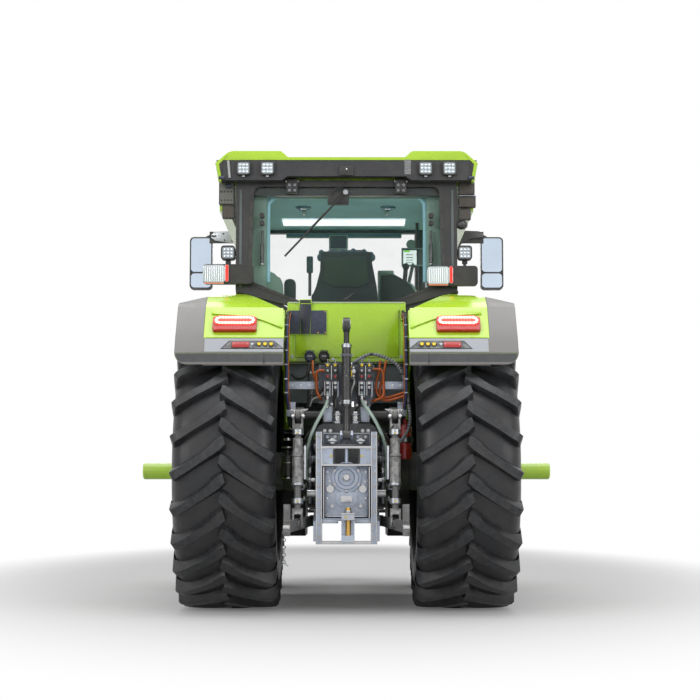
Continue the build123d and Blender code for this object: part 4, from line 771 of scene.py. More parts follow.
lamps = Shape()
for side in (-1, 1):
    for x in (0.586, 0.763):
        work_lamp(lamps, back_of(side * x, PANEL_REAR - 0.026, 3.236))
        lamps.block((side * x - 0.012, -0.165, 3.168), (side * x + 0.012, -0.145, 3.185), zinc, 0.002)
        ahead = facing((side * x, at(1.926), 3.236), AHEAD)
        work_lamp(lamps, ahead)
    work_lamp(lamps, back_of(side * 0.884, -0.021, 2.626))
    lamps.block((side * 0.884 - 0.02, 0.0, 2.545), (side * 0.884 + 0.02, 0.03, 2.575), black_plastic, 0.003)
    lamps.bar((side * 0.884, 0.015, (2.50, 2.56)), 0.012, black_plastic)
lamps.finish("work_lamp_lenses", "chassis", "lamp_lens")

# Tail lamps: a ring of diodes in a stadium, with the red lens below it
LAMP_EDGE = (-0.730, 1.915)  # the fender's sloping face, from its lower edge to its top
LAMP_TOP = (-0.5594, 2.1504)
LAMP_Z = 2.008
slope = Vector((0, -(LAMP_TOP[1] - LAMP_EDGE[1]), LAMP_TOP[0] - LAMP_EDGE[0]))
SLOPE_COS = (LAMP_TOP[1] - LAMP_EDGE[1]) / hypot(LAMP_TOP[0] - LAMP_EDGE[0], LAMP_TOP[1] - LAMP_EDGE[1])


def on_lamp_face(x, z):
    share = (z - LAMP_EDGE[1]) / (LAMP_TOP[1] - LAMP_EDGE[1])
    return facing((x, at(LAMP_EDGE[0] + (LAMP_TOP[0] - LAMP_EDGE[0]) * share), z), slope)


tail = Shape()
for side in (-1, 1):
    face = on_lamp_face(side * 0.785, LAMP_Z) @ Matrix.Translation((0, 0, 0.0285))
    ring = []
    width, height = 0.262, 0.050
    centre_y = 0.022
    for k in range(11):
        x = -width / 2 + height / 2 + (width - height) * k / 10
        ring += [(x, centre_y + height / 2), (x, centre_y - height / 2)]
    for k in (-1, 0, 1):
        a = pi + k * pi / 4
        ring.append((-width / 2 + height / 2 + height / 2 * cos(a), centre_y + height / 2 * sin(a)))
        ring.append((width / 2 - height / 2 - height / 2 * cos(a), centre_y + height / 2 * sin(a)))
    tail.prism(rounded(0.300, 0.088, 0.043, 8, 0, centre_y), face, 0.006, red_glow, 0.002)
    for x, y in ring:
        base = face @ Matrix.Translation((x, y, 0.006))
        tail.lathe([(0.0105, 0), (0.0095, 0.004), (0.005, 0.0065), (0, 0.007)], base, hot_diode, 10)
    for k in range(14):
        x = -0.125 + 0.0192 * k
        rib = face @ Matrix.Translation((x, -0.043, 0.0))
        tail.prism(rounded(0.015, 0.036, 0.003, 2), rib, 0.004, red_lens, 0.001, 1)
tail.finish("tail_lamp_diodes", "chassis", "tail_red")

# Grey panel below the lamps: recess with reflector and buttons
LOWER_FACE = (-0.790, 1.810)  # its lower edge; its upper one is the lamps' lower edge


def on_panel(x):
    """A frame on the middle line of that panel."""
    normal = Vector((0, -(LAMP_EDGE[1] - LOWER_FACE[1]), LAMP_EDGE[0] - LOWER_FACE[0]))
    return facing((x, at((LOWER_FACE[0] + LAMP_EDGE[0]) / 2), (LOWER_FACE[1] + LAMP_EDGE[1]) / 2), normal)


fender = Shape()
for side in (-1, 1):
    face = on_panel(side * 0.655) @ Matrix.Translation((0, 0, 0.0005))
    recess = [(side * x, y) for x, y in ((-0.150, 0.036), (0.165, 0.036), (0.225, -0.036), (-0.225, -0.036))][::side]
    fender.prism(recess, face, 0.002, black_plastic, 0.001)
    fender.prism([(x * 0.94, y * 0.82) for x, y in recess], face @ Matrix.Translation((0, 0, 0.0015)), 0.0015, casting,
                 0)
    low_x, high_x = sorted((side * 0.145, side * 0.020))
    fender.prism([(low_x, -0.026), (high_x, -0.026), (high_x, 0.024), (low_x, 0.024)],
                 face @ Matrix.Translation((0, 0, 0.003)), 0.006, red_lens, 0.002)
    for x in (low_x + 0.012, high_x - 0.012):
        fender.ball(face @ Vector((x, 0.0, 0.010)), 0.004, bright_steel, 8)
    for k in range(3):
        base = face @ Matrix.Translation((side * (-0.046 - 0.042 * k), 0.002, 0.003))
        fender.lathe([(0.019, 0), (0.019, 0.003), (0.016, 0.005), (0, 0.005)], base, black_plastic, 20)
        fender.lathe([(0.013, 0.004), (0.013, 0.009), (0.011, 0.011), (0, 0.011)], base, yellow, 16)
    triangle = [(side * (0.006 - 0.018), 0.012), (side * (0.006 + 0.010), 0.012), (side * (0.006 - 0.004), -0.010)]
    fender.prism(triangle[::side], face @ Matrix.Translation((0, 0, 0.003)), 0.003, lens, 0.0005)
    # bright lip under the green face
    fender.bar(((side * 0.445, side * 0.985), -0.733, 1.917), 0.004, lime, steps=8)
fender.finish("fender_lamp_panels", "chassis", "black_plastic")

# Indicators: ribbed lens with a red inner edge on a dark body
signal = Shape()
LENS_WIDTH = 0.165
for low, z in ((-1.060, 2.450), (0.595, 2.438)):
    middle = low + LENS_WIDTH / 2
    place = back_of(middle, -0.131, z)
    signal.prism(rounded(LENS_WIDTH, 0.132, 0.024, 5), place, 0.012, ribbed_lens, 0.004)
    for k in range(9):
        x = -0.064 + 0.016 * k
        signal.rod(place @ Vector((x, -0.056, 0.012)), place @ Vector((x, 0.056, 0.012)), 0.0035, ribbed_lens, steps=8)
    edge = back_of(low + LENS_WIDTH + 0.012, -0.131, z + 0.004)
    signal.prism(rounded(0.026, 0.126, 0.008, 3), edge, 0.014, red_glow, 0.003)
    signal.prism(rounded(0.145, 0.012, 0.005, 3), back_of(middle, -0.131, z - 0.070), 0.012, amber, 0.002)
signal.finish("indicator_lenses", "chassis", "lamp_lens")


# Cab: seals, hinges, wiper, roof fittings, mirrors and what shows through the rear window


def round_corners(points, radius, steps=5):
    """That closed outline with an arc at each corner."""
    made = []
    n = len(points)
    for k in range(n):
        a, b, c = (Vector(points[(k + i) % n]) for i in (-1, 0, 1))
        back, on = (a - b).normalized(), (c - b).normalized()
        half = back.angle(on) / 2
        reach = min(radius / tan(half), 0.45 * min((a - b).length, (c - b).length))
        start, end = b + back * reach, b + on * reach
        for i in range(steps + 1):
            t = i / steps
            made.append((1 - t) ** 2 * start + 2 * t * (1 - t) * b + t * t * end)
    return made


OPENING = [(-0.701, 3.120), (0.701, 3.120), (0.720, 2.408), (0.343, 2.257), (-0.343, 2.257), (-0.720, 2.408)]
WINDOW_REAR = -0.036
window = Shape()
seal = round_corners([(x * 0.985, z) for x, z in OPENING], 0.060)
grown = round_corners([(x * 1.022, z + (0.014 if z > 3 else -0.014)) for x, z in OPENING], 0.060)
n = len(seal)
verts = [Vector((p[0], at(WINDOW_REAR + y), p[1])) for outline, y in ((grown, 0.0), (grown, -0.006), (seal, -0.006),
                                                                      (seal, 0.02)) for p in outline]
faces = [[r * n + i, r * n + (i + 1) % n, (r + 1) * n + (i + 1) % n, (r + 1) * n + i]
         for r in range(3) for i in range(n)]
window.add(verts, faces, black_plastic)
for side in (-1, 1):
    window.block((side * 0.790 - 0.010, WINDOW_REAR - 0.003, 2.36), (side * 0.790 + 0.010, WINDOW_REAR, 3.10),
                 trim_plastic, 0.002)
    x = side * 0.405
    window.block((x - 0.043, -0.085, 3.065), (x + 0.043, -0.030, 3.172), black_plastic, 0.012)
    window.bar(((x - 0.05, x + 0.05), -0.062, 3.158), 0.012, bright_steel)
    for z in (3.085, 3.125):
        for dx in (-0.02, 0.02):
            screw(window, back_of(x + dx, -0.085, z), 0.006, black_paint, 0.003)
    for z in (2.905, 2.848):
        window.bar((side * 0.632, (-0.045, 0.02), z), 0.019, black_plastic)
    window.bar((side * 0.632, 0.030, (2.80, 2.545)), 0.010, black_paint)
    window.bar((side * 0.632, 0.030, (2.70, 2.56)), 0.015, black_paint)
    window.ball((side * 0.632, 0.030, 2.545), 0.014, bright_steel, 10)
window.bar((0.0, (-0.052, -0.030), 2.262), 0.026, black_plastic)
window.rod((-0.012, -0.060, 2.262), (0.055, -0.060, 2.318), 0.008, black_plastic)
window.finish("rear_window_seal", "chassis", "cab_black")

wiper = Shape()
wiper.block((-0.142, -0.030, 2.990), (0.018, 0.030, 3.095), black_plastic, 0.014)
wiper.bar((-0.007, (-0.070, -0.020), 3.075), 0.020, zinc)
wiper.pipe([(-0.007, -0.060, 3.075), (-0.10, -0.066, 2.975), (-0.22, -0.058, 2.852), (-0.30, -0.047, 2.765)], 0.0075,
           black_plastic)
wiper.rod((-0.15, -0.044, 2.925), (-0.46, -0.044, 2.595), 0.0075, black_plastic)
wiper.pipe([(-0.12, -0.045, 3.06), (-0.09, -0.055, 3.105), (-0.03, -0.055, 3.12), (0.0, -0.05, 3.165)], 0.004,
           black_plastic, 8)
wiper.finish("rear_wiper", "chassis", "black_plastic")

roof = Shape()
roof.block((-0.052, -0.168, 3.180), (0.050, -0.143, 3.252), black_plastic, 0.008)
roof.lathe([(0.020, 0), (0.020, 0.008), (0.014, 0.010), (0.013, 0.002), (0, 0.002)], back_of(0, -0.160, 3.212),
           black_plastic, 20)
roof.ball((0, -0.166, 3.226), 0.008, bright_steel, 12)
for k in range(9):
    z = 3.200 + 0.012 * k
    roof.block((0.432, -0.151, z), (0.474, -0.143, z + 0.007), zinc, 0.002)
roof.block((0.428, -0.147, 3.192), (0.478, -0.143, 3.304), plate_grey, 0.002)
for x in (-0.330, 0.322):
    roof.bar((x, 0.25, (3.320, 3.332)), 0.022, gold)
    roof.hoop(Matrix.Translation((x, at(0.25), 3.343)) @ Matrix.Rotation(pi / 2, 4, "X"), 0.016, 0.0055, gold, 20, 8)
# left corner: bar and perforated vent; right corner: stepped covers and a dome
roof.rod((-0.878, -0.152, 3.295), (-0.866, -0.152, 3.165), 0.010, plate_grey)
roof.block((-0.955, -0.030, 2.985), (-0.838, 0.010, 3.160), vent_grey, 0.010)
roof.block((-0.930, -0.030, 2.880), (-0.838, 0.010, 2.985), vent_brown, 0.012)
for k in range(4):
    roof.bar((-0.935 + 0.024 * k, (-0.0325, -0.028), 3.085), 0.0075, black_plastic)
    roof.bar((-0.935 + 0.024 * k, (-0.0325, -0.028), 3.020), 0.006, black_plastic)
roof.bar(((-0.90, -0.86), -0.04, 3.125), 0.016, plate_paint)
roof.block((0.838, -0.030, 3.060), (0.960, 0.010, 3.160), vent_brown, 0.010)
roof.block((0.838, -0.045, 2.965), (0.966, 0.010, 3.045), vent_brown, 0.008)
roof.block((0.838, -0.030, 2.870), (0.930, 0.010, 2.960), vent_brown, 0.012)
roof.block((0.838, -0.048, 3.048), (0.968, 0.010, 3.054), zinc, 0.001)
roof.ball((0.862, -0.02, 2.835), 0.045, black_paint, 20, 0.8)
for side in (-1, 1):
    roof.block((side * 0.935 - 0.02, -0.150, 3.185), (side * 0.935 + 0.015, -0.143, 3.275), black_plastic, 0.006)
    roof.bar(((side * 0.905, side * 0.945), -0.155, 3.165), 0.013, plate_paint)
roof.finish("roof_fittings", "chassis", "roof_dark")

MIRROR_X = 1.252
mirrors = Shape()
for side in (-1, 1):
    frame_shape(mirrors, 0.195, 0.455, 0.036, 0.011, back_of(side * MIRROR_X, 1.836, 2.818), 0.010, black_paint)
    for high, z in ((0.292, 2.889), (0.122, 2.668)):
        mirrors.prism(rounded(0.172, high, 0.026, 5), back_of(side * MIRROR_X, 1.835, z), 0.004, mirror_glass, 0.0008,
                      1)
    mirrors.block((side * MIRROR_X - 0.088, 1.828, 2.732), (side * MIRROR_X + 0.088, 1.838, 2.741), black_paint, 0.002)
    mirrors.pipe([(side * 1.12, 1.825, 3.040), (side * 1.16, 1.822, 3.052), (side * 1.20, 1.85, 3.045),
                  (side * 1.222, 1.868, 3.020)], 0.013, vent_brown if side > 0 else black_paint)
left_arm = [(-1.165, 3.062), (-1.140, 3.088), (-1.02, 3.094), (-0.955, 3.100), (-0.955, 2.995), (-0.985, 2.985),
            (-1.13, 3.010), (-1.165, 3.035)]
mirrors.plate(left_arm, 1.818, 0.006, zinc)
for x, z in ((-1.13, 3.05), (-1.06, 3.07), (-0.985, 3.085), (-0.985, 3.01), (-1.05, 3.015)):
    screw(mirrors, back_of(x, 1.812, z), 0.008, black_paint, 0.005)
right_arm = [(0.955, 3.102), (1.14, 3.094), (1.185, 3.070), (1.17, 3.035), (1.06, 3.030), (0.985, 2.985), (0.955, 2.93)]
mirrors.plate(right_arm, 1.818, 0.010, black_paint, 0.004)
mirrors.finish("mirror_glasses", "chassis", "black_plastic")

inside = Shape()
for side in (-1, 1):
    inside.block((side * 0.688 - 0.088, 0.065, 2.36), (side * 0.688 + 0.088, 0.125, 3.088), teal_trim, 0.014)
    # pillar padding in the liner's blue, brightened as painted light
    inside.pipe([(side * 0.590, 0.10, 2.42), (side * 0.590, 0.10, 2.95), (side * 0.575, 0.10, 3.03),
                 (side * 0.52, 0.10, 3.075)], 0.016, sky_liner_with_painted_light)
    x = -0.340 if side < 0 else 0.326
    down = Matrix.Translation((x, at(0.64), 3.089)) @ Matrix.Rotation(pi, 4, "X")
    inside.lathe([(0.062, 0), (0.060, 0.012), (0.046, 0.018), (0.040, 0.008), (0, 0.004)], down, lamp_ring, 28)
    inside.lathe([(0.030, 0.006), (0.024, 0.016), (0, 0.020)], down, mirror_glass, 20)
    inside.block((x - 0.014, 0.70, 3.060), (x + 0.014, 0.86, 3.089), lamp_ring, 0.006)
inside.block((-0.530, 1.16, 3.078), (0.486, 1.46, 3.0895), strip_light, 0.002)
inside.block((-0.515, 1.690, 3.018), (0.470, 1.738, 3.056), deep_blue, 0.006)
inside.block((-0.72, 0.07, 3.055), (0.72, 0.10, 3.089), trim_plastic, 0.006)
inside.block((-0.30, 0.068, 3.056), (-0.14, 0.105, 3.082), black_plastic, 0.004)
inside.block((0.14, 0.068, 3.056), (0.31, 0.105, 3.082), black_plastic, 0.004)
inside.block((-0.150, 1.64, 2.905), (0.012, 1.665, 3.035), visor_grey, 0.012)
inside.rod((-0.085, 1.65, 2.91), (-0.185, 1.66, 2.79), 0.007, black_plastic)
inside.bar((-0.185, (1.66, 1.74), 2.79), 0.012, black_plastic)
# monitor screen, blank blocks of colour only
screen = back_of(0.547, 1.190, 2.775)
frame_shape(inside, 0.19, 0.15, 0.014, 0.010, screen, 0.006, teal_trim)
inside.prism(rounded(0.118, 0.118, 0.004, 2, -0.022, -0.004), screen, 0.003, screen_light, 0.0005, 1)
inside.prism(rounded(0.048, 0.016, 0.002, 2, -0.052, 0.046), screen, 0.004, green_screen, 0.0003, 1)
inside.prism(rounded(0.036, 0.118, 0.004, 2, 0.062, -0.004), screen, 0.003, trim_plastic, 0.0005, 1)
for k in range(4):
    inside.prism(rounded(0.060, 0.006, 0.001, 1, -0.030, 0.018 - 0.022 * k), screen, 0.0038, trim_plastic, 0)
inside.lathe([(0.040, 0), (0.040, 0.012), (0.034, 0.016), (0, 0.012)], back_of(0.533, 1.26, 2.890), pale_teal, 24)
inside.rod((0.533, 1.27, 2.87), (0.560, 1.27, 2.70), 0.008, black_plastic)
inside.bar((0.580, 1.20, (3.06, 2.40)), 0.014, black_plastic)
# left shelf and the right armrest with its controls
shelf = [(-0.705, 2.56), (-0.615, 2.545), (-0.555, 2.50), (-0.505, 2.480), (-0.485, 2.43), (-0.478, 2.30),
         (-0.705, 2.36)]
inside.plate(shelf, 0.330, 0.05, pale_teal, 0.012)
inside.prism(rounded(0.090, 0.20, 0.035, 5), back_of(-0.435, 0.42, 2.38), 0.06, deep_grey, 0.010)
arm = [(0.245, 2.555), (0.36, 2.560), (0.40, 2.530), (0.455, 2.500), (0.52, 2.470), (0.56, 2.40), (0.56, 2.08),
       (0.245, 2.08)]
inside.plate(arm, 0.690, 0.12, deep_grey, 0.018)
inside.block((0.245, 0.56, 2.545), (0.37, 0.76, 2.575), teal_trim, 0.010)
inside.rod((0.46, 0.74, 2.50), (0.47, 0.74, 2.62), 0.018, black_plastic)
inside.ball((0.47, 0.74, 2.63), 0.028, black_plastic, 14)
inside.finish("cab_fittings", "chassis", "trim_grey")

seat = Shape()
back_line = [(-0.200, 2.700), (0.190, 2.700), (0.200, 2.60), (0.235, 2.42), (0.252, 2.20), (0.252, 1.93),
             (-0.262, 1.93), (-0.272, 2.36), (-0.225, 2.42), (-0.205, 2.55)]
seat.plate(back_line, 0.452, 0.030, seat_cloth, 0.012, 3)
panel = [(-0.165, 2.66), (0.155, 2.66), (0.165, 2.58), (0.178, 2.46), (0.10, 2.425), (-0.10, 2.425), (-0.178, 2.46),
         (-0.172, 2.58)]
seat.plate(panel, 0.424, 0.014, seat_green, 0.006)
for k in range(15):
    x = -0.195 + 0.0275 * k
    seat.ball((x, 0.448, 2.700 + 0.010 * cos(2.1 * k) - 0.35 * (x + 0.005) ** 2), 0.021, fringe, 8, 1.1)
seat.ball((-0.205, 0.45, 2.66), 0.024, fringe, 8, 1.3)
seat.ball((0.20, 0.45, 2.66), 0.024, fringe, 8, 1.3)
seat.prism(rounded(0.050, 0.13, 0.010, 4), back_of(-0.284, 0.44, 2.60), 0.02, teal_dark, 0.006)
seat.bar((-0.284, 0.45, (2.36, 2.56)), 0.012, black_plastic)
seat.finish("seat_back_cover", "chassis", "seat_cloth")


# Rear cover, hydraulics and hitch

cover = Shape()
cover.block((-0.375, -0.112, 1.832), (0.385, -0.098, 2.215), lime, 0.008)
for x in (-0.415, 0.415):
    cover.block((x - 0.012, -0.106, 1.815), (x + 0.012, -0.098, 2.180), lime, 0.003)
for x, z in ((-0.400, 1.84), (0.402, 1.84), (0.402, 2.15), (-0.10, 1.822), (0.12, 1.822)):
    screw(cover, back_of(x, -0.107 if abs(x) > 0.3 else -0.101, z), 0.008, zinc)
cover.block((-0.443, -0.122, 2.000), (-0.143, -0.114, 2.184), plate_paint, 0.004)
cover.prism([(-0.043, 0.09), (-0.036, -0.09), (0.036, -0.09), (0.043, 0.09), (0.043, 0.155), (-0.043, 0.155)],
            back_of(-0.303, -0.121, 2.090), 0.012, plate_dark, 0.003)
cover.block((-0.350, -0.135, 2.225), (-0.256, -0.105, 2.262), black_plastic, 0.006)
for x, z in ((-0.430, 2.170), (-0.157, 2.170), (-0.157, 2.014), (-0.210, 2.014), (-0.430, 2.014)):
    cover.bar((x, (-0.127, -0.120), z), 0.0055, gold, steps=10)
cover.block((0.395, -0.160, 2.105), (0.435, -0.098, 2.185), black_plastic, 0.008)
# tray and connectors under the cover
cover.block((-0.430, -0.112, 1.788), (0.430, -0.070, 1.806), black_paint, 0.003)
for x, colour in ((-0.268, plate_paint), (-0.165, black_plastic)):
    place = back_of(x, -0.150, 1.838)
    cover.bar((x, (-0.100, -0.150), 1.838), 0.040, black_plastic)
    cover.lathe([(0.040, 0), (0.040, 0.022), (0.034, 0.028), (0.030, 0.012), (0, 0.012)], place, colour, 24)
    for k in range(3):
        cover.rod(place @ Vector((-0.012 + 0.012 * k, 0.0, 0.012)), place @ Vector((-0.012 + 0.012 * k, 0.0, 0.020)),
                  0.004, bright_steel, steps=8)
    cover.block((x - 0.03, -0.155, 1.876), (x + 0.03, -0.105, 1.888), black_plastic, 0.004)
cover.finish("rear_cover_fittings", "chassis", "lime_paint")

# Wiring along both inner edges of the fenders
wiring = Shape()
for side in (-1, 1):
    x = side * 0.424
    route = [(x, -0.120, 2.160), (x, -0.330, 2.120), (x, -0.500, 2.030), (x, -0.575, 1.880), (x, -0.590, 1.720),
             (x, -0.570, 1.560), (x - side * 0.01, -0.500, 1.430)]
    wiring.pipe(route, 0.013, black_plastic, 10, 6, ridges=(0.009, 0.002))
    wiring.pipe([(p[0] - side * 0.016, p[1] - 0.006, p[2]) for p in route], 0.0028, orange_hose, 8, 6)
    wiring.pipe([(p[0] - side * 0.004, p[1] - 0.016, p[2]) for p in route], 0.0025, wire_blue, 8, 6)
    line = smooth_line([spot(p) for p in route], 8)
    for k in range(6, len(line) - 3, 5):
        low, high = line[k] - Vector((0.017, 0.020, 0.007)), line[k] + Vector((0.012, 0.012, 0.007))
        wiring.block(low, high, plate_grey if k % 2 else zinc, 0.003)
wiring.finish("fender_wiring", "chassis", "hose_rubber")

VALVES = (-0.134, -0.080, 0.109, 0.162)
valves = Shape()
for n, x in enumerate(VALVES):
    for z in (1.655, 1.700, 1.738):
        valves.block((x - 0.021, -0.492, z - 0.017), (x + 0.021, -0.478, z + 0.017), black_plastic, 0.003)
    for z, colour in ((1.742, yellow), (1.704, plate_grey), (1.662, red_enamel)):
        valves.lathe([(0.0095, 0), (0.0095, 0.012), (0.007, 0.015), (0, 0.015)], back_of(x, -0.506, z), colour, 12)
    for z in (1.660, 1.712):
        valves.lathe([(0.017, 0), (0.017, 0.010), (0.0135, 0.014), (0.0125, 0.002), (0, 0.002)],
                     back_of(x, -0.5055, z), valve_steel, 20)
    valves.block((x - 0.022, -0.470, 1.745), (x + 0.022, -0.350, 1.762), zinc, 0.003)
    for z in (1.790, 1.775):
        valves.rod((x, -0.42, 1.755), (x, -0.43, z), 0.006, bright_steel, steps=10)
    valves.bar((x, -0.440, (1.632, 1.610)), 0.020, bright_steel, steps=6)
    valves.bar((x, -0.440, (1.600, 1.578)), 0.017, zinc, steps=6)
    valves.rod((x + 0.018, -0.47, 1.628), (x + 0.018, -0.455, 1.52), 0.006, zinc, steps=8)
    valves.ball((x + 0.018, -0.47, 1.624), 0.009, bright_steel, 10)
for x in (-0.108, 0.136):
    valves.block((x - 0.004, -0.475, 1.64), (x + 0.004, -0.33, 1.742), bright_steel, 0.001)
valves.block((0.010, -0.470, 1.640), (0.066, -0.360, 1.735), valve_steel, 0.006)
for z in (1.66, 1.69, 1.72):
    valves.bar((0.020, (-0.482, -0.468), z), 0.009, gold, steps=12)
    valves.bar((0.050, (-0.482, -0.468), z + 0.008), 0.007, bright_steel, steps=10)
for k, x in enumerate((-0.28, -0.25, -0.06, 0.03, 0.22, 0.27)):
    valves.rod((x, -0.30, 1.50), (x + 0.01, -0.30, 1.78), 0.007, zinc if k % 2 else black_plastic, steps=8)
valves.finish("valve_fittings", "chassis", "valve_steel")


def islands(name):
    """The loose pieces of a CAD node's mesh, each a list of its polygons' points."""
    mesh = welded(name)
    left, made = set(mesh.faces), []
    while left:
        front = [left.pop()]
        island = []
        while front:
            face = front.pop()
            island.append(face)
            for edge in face.edges:
                for other in edge.link_faces:
                    if other in left:
                        left.remove(other)
                        front.append(other)
        made.append([[v.co.copy() for v in face.verts] for face in island])
    mesh.free()
    return made


hoses = Shape()
for island in islands("hydraulic_hoses"):
    lowest = min(p.z for face in island for p in face)
    finish = pale_hose if lowest < 1.2 else orange_hose
    for face in island:
        hoses.add(face, [list(range(len(face)))], finish)
bmesh.ops.remove_doubles(hoses.mesh, verts=hoses.mesh.verts, dist=WELD)
for side in (-1, 1):
    for x, y, z in ((0.134 if side < 0 else 0.109, -0.440, 1.500), (0.224, -0.410, 0.930)):
        along = (0, 0, 0.03) if z > 1.2 else (0.03, 0, 0)
        a = spot((side * x, y, z))
        b = a + Vector((side * along[0], 0, along[2]))
        hoses.rod(a, b, 0.0165, bright_steel, steps=12)
        hoses.rod(b, b + (b - a) * 0.5, 0.020, zinc, steps=6)
hoses.finish("hoses", "chassis", "hose_rubber", "hydraulic_hoses")

ribbed = Shape()
CONDUIT = [(0.060, -0.060, 1.780), (0.060, -0.330, 1.780), (0.180, -0.390, 1.832), (0.330, -0.400, 1.780),
           (0.400, -0.400, 1.690), (0.445, -0.400, 1.480), (0.440, -0.420, 1.290), (0.300, -0.420, 1.120),
           (0.215, -0.420, 1.120)]
ribbed.pipe(CONDUIT, 0.0145, conduit_grey, 12, 10, ridges=(0.020, 0.005))
for clip in CONDUIT[2], CONDUIT[4], CONDUIT[5]:
    ribbed.ball(clip, 0.019, black_plastic, 12, 0.5)
ribbed.finish("ribbed_conduit", "chassis", "hose_rubber", "conduit")

# Hitch frame: edge flanges, plate, cover, bolts and nipples
hitch = Shape()
REAR = -0.620
for side in (-1, 1):
    inner, outer = sorted((side * 0.172, side * 0.215))
    for x in (inner + 0.004, outer - 0.004):
        hitch.block((x - 0.004, REAR - 0.008, 0.482), (x + 0.004, REAR, 1.262), bright_steel, 0.0015)
    for k in range(9):
        screw(hitch, back_of(side * 0.1935, REAR, 0.53 + 0.088 * k), 0.0095, zinc)
    hitch.bar((side * 0.108, (REAR - 0.012, REAR), 1.095), 0.008, yellow, steps=12)
    for z in (1.140, 1.050):
        hitch.bar((side * 0.150, (REAR - 0.006, REAR), z), 0.010, zinc, steps=6)
    hitch.block((side * 0.16 - 0.004, -0.60, 0.66), (side * 0.16 + 0.004, -0.56, 1.02), bright_steel, 0.001)
frame_shape(hitch, 0.190, 0.128, 0.022, 0.012, back_of(0, REAR, 1.095), 0.006, black_paint)
for low, high, bevel in ((1.148, 1.165, 0.002), (1.025, 1.038, 0.002), (0.480, 0.502, 0.003)):
    hitch.block((-0.172, REAR - 0.007, low), (0.172, REAR, high), bright_steel, bevel)
for side in (-1, 1):
    hitch.block((side * 0.115 - 0.057, -0.600, 0.625), (side * 0.115 + 0.057, -0.560, 0.648), hitch_paint, 0.003)
hitch.bar((0.012, -0.815, (0.505, 0.735)), 0.019, gold)
hitch.bar((0.012, -0.815, (0.700, 0.716)), 0.026, zinc)
hitch.block((-0.040, -0.872, 0.690), (0.062, -0.760, 0.700), bright_steel, 0.003)
hitch.bar((-0.005, (-0.882, -0.868), 0.672), 0.007, yellow, steps=10)
hitch.finish("hitch_frame_fittings", "chassis", "hitch_steel")

# Rear of the axle housing: PTO ring, oil cover, bolt circle, machined faces and pipes
housing = Shape()
COVER = -0.507
pto = back_of(0, COVER, 0.945)
housing.lathe([(0.112, 0.0), (0.112, 0.010), (0.104, 0.014), (0.086, 0.014), (0.082, 0.026), (0.060, 0.028),
               (0.054, 0.010), (0, 0.010)], pto, hitch_paint, 40)
for k in range(6):
    a = pi / 6 + k * pi / 3
    screw(housing, back_of(0.096 * cos(a), COVER - 0.014, 0.945 + 0.096 * sin(a)), 0.008, bright_steel)
housing.prism(rounded(0.150, 0.100, 0.030, 5), back_of(0, COVER, 0.795), 0.016, hitch_paint, 0.005)
housing.prism(rounded(0.085, 0.050, 0.015, 4), back_of(0, COVER - 0.016, 0.795), 0.010, bright_steel, 0.004)
for x in (-0.100, 0.100):
    housing.bar((x, (COVER - 0.022, COVER), 0.745), 0.020, hitch_paint, steps=20)
    screw(housing, back_of(x, COVER - 0.022, 0.745), 0.011, bright_steel)
    housing.bar((x * 1.15, (COVER - 0.010, COVER), 0.865), 0.030, bright_steel, steps=24)
for k in range(7):
    screw(housing, back_of(-0.135 + 0.045 * k, COVER, 0.690), 0.009, zinc)
for x, z in ((-0.135, 0.985), (0.135, 0.985), (-0.135, 0.80), (0.135, 0.80), (-0.12, 0.92), (0.13, 0.915)):
    screw(housing, back_of(x, COVER, z), 0.009, bright_steel)
housing.block((-0.150, COVER - 0.008, 0.668), (0.150, COVER, 0.676), bright_steel, 0.002)
for side in (-1, 1):
    x = side * 0.065
    housing.bar((x, -0.385, (1.325, 1.420)), 0.028, bright_steel)
    housing.bar((x, -0.385, (1.330, 1.350)), 0.036, zinc, steps=6)
    housing.bar((x, -0.385, (1.390, 1.405)), 0.034, zinc)
    housing.pipe([(x, -0.385, 1.42), (side * 0.09, -0.42, 1.50), (side * 0.06, -0.45, 1.62)], 0.011, black_plastic)
    housing.bar(((side * 0.210, side * 0.285), -0.30, 0.835), 0.034, bright_steel)
housing.finish("axle_housing_fittings", "chassis", "casting_grey")

# Rods: collars, grease nipples and eyes that shine
ROD_X = 0.337
TOP, LOW = (-0.750, 1.382), (-0.800, 0.622)
rods = Shape()


def on_rod(z):
    """How far forward the rods' middle line is at that height."""
    return TOP[0] + (LOW[0] - TOP[0]) * (TOP[1] - z) / (TOP[1] - LOW[1])


for side in (-1, 1):
    x = side * ROD_X
    for z0, z1, r, colour in ((1.235, 1.275, 0.040, zinc), (1.100, 1.215, 0.034, link_paint),
                              (1.085, 1.105, 0.041, link_paint), (0.900, 1.085, 0.038, link_paint),
                              (0.885, 0.905, 0.044, zinc), (0.760, 0.800, 0.040, zinc)):
        rods.rod((x, on_rod(z0), z0), (x, on_rod(z1), z1), r, colour)
    for z in (1.25, 0.78):
        rods.bar((x, (on_rod(z) - 0.052, on_rod(z) - 0.030), z), 0.006, yellow, steps=8)
    rods.rod((x - side * 0.05, on_rod(1.0), 1.16), (x - side * 0.05, on_rod(0.9), 0.93), 0.008, zinc, steps=8)
rods.finish("lift_rod_collars", "lift_rods", "link_steel")

arms = Shape()
for side in (-1, 1):
    x = side * ROD_X
    for end in (-0.026, 0.018):
        arms.bar(((x + end, x + end + 0.008), TOP[0], TOP[1]), 0.034, bright_steel)
arms.finish("lift_arm_eyes", "lift_arms", "link_steel")

top = Shape()
for z in (1.46, 1.86):
    top.bar((0, -0.56, (z, z + 0.03)), 0.037, zinc)
top.bar((0, (-0.60, -0.595), 1.66), 0.004, zinc, steps=8)
top.bar(((-0.030, 0.030), -0.560, 2.025), 0.034, bright_steel)
top.block((-0.045, -0.600, 1.800), (0.045, -0.592, 1.815), black_paint, 0.002)
top.finish("top_link_fittings", "top_link", "link_steel")

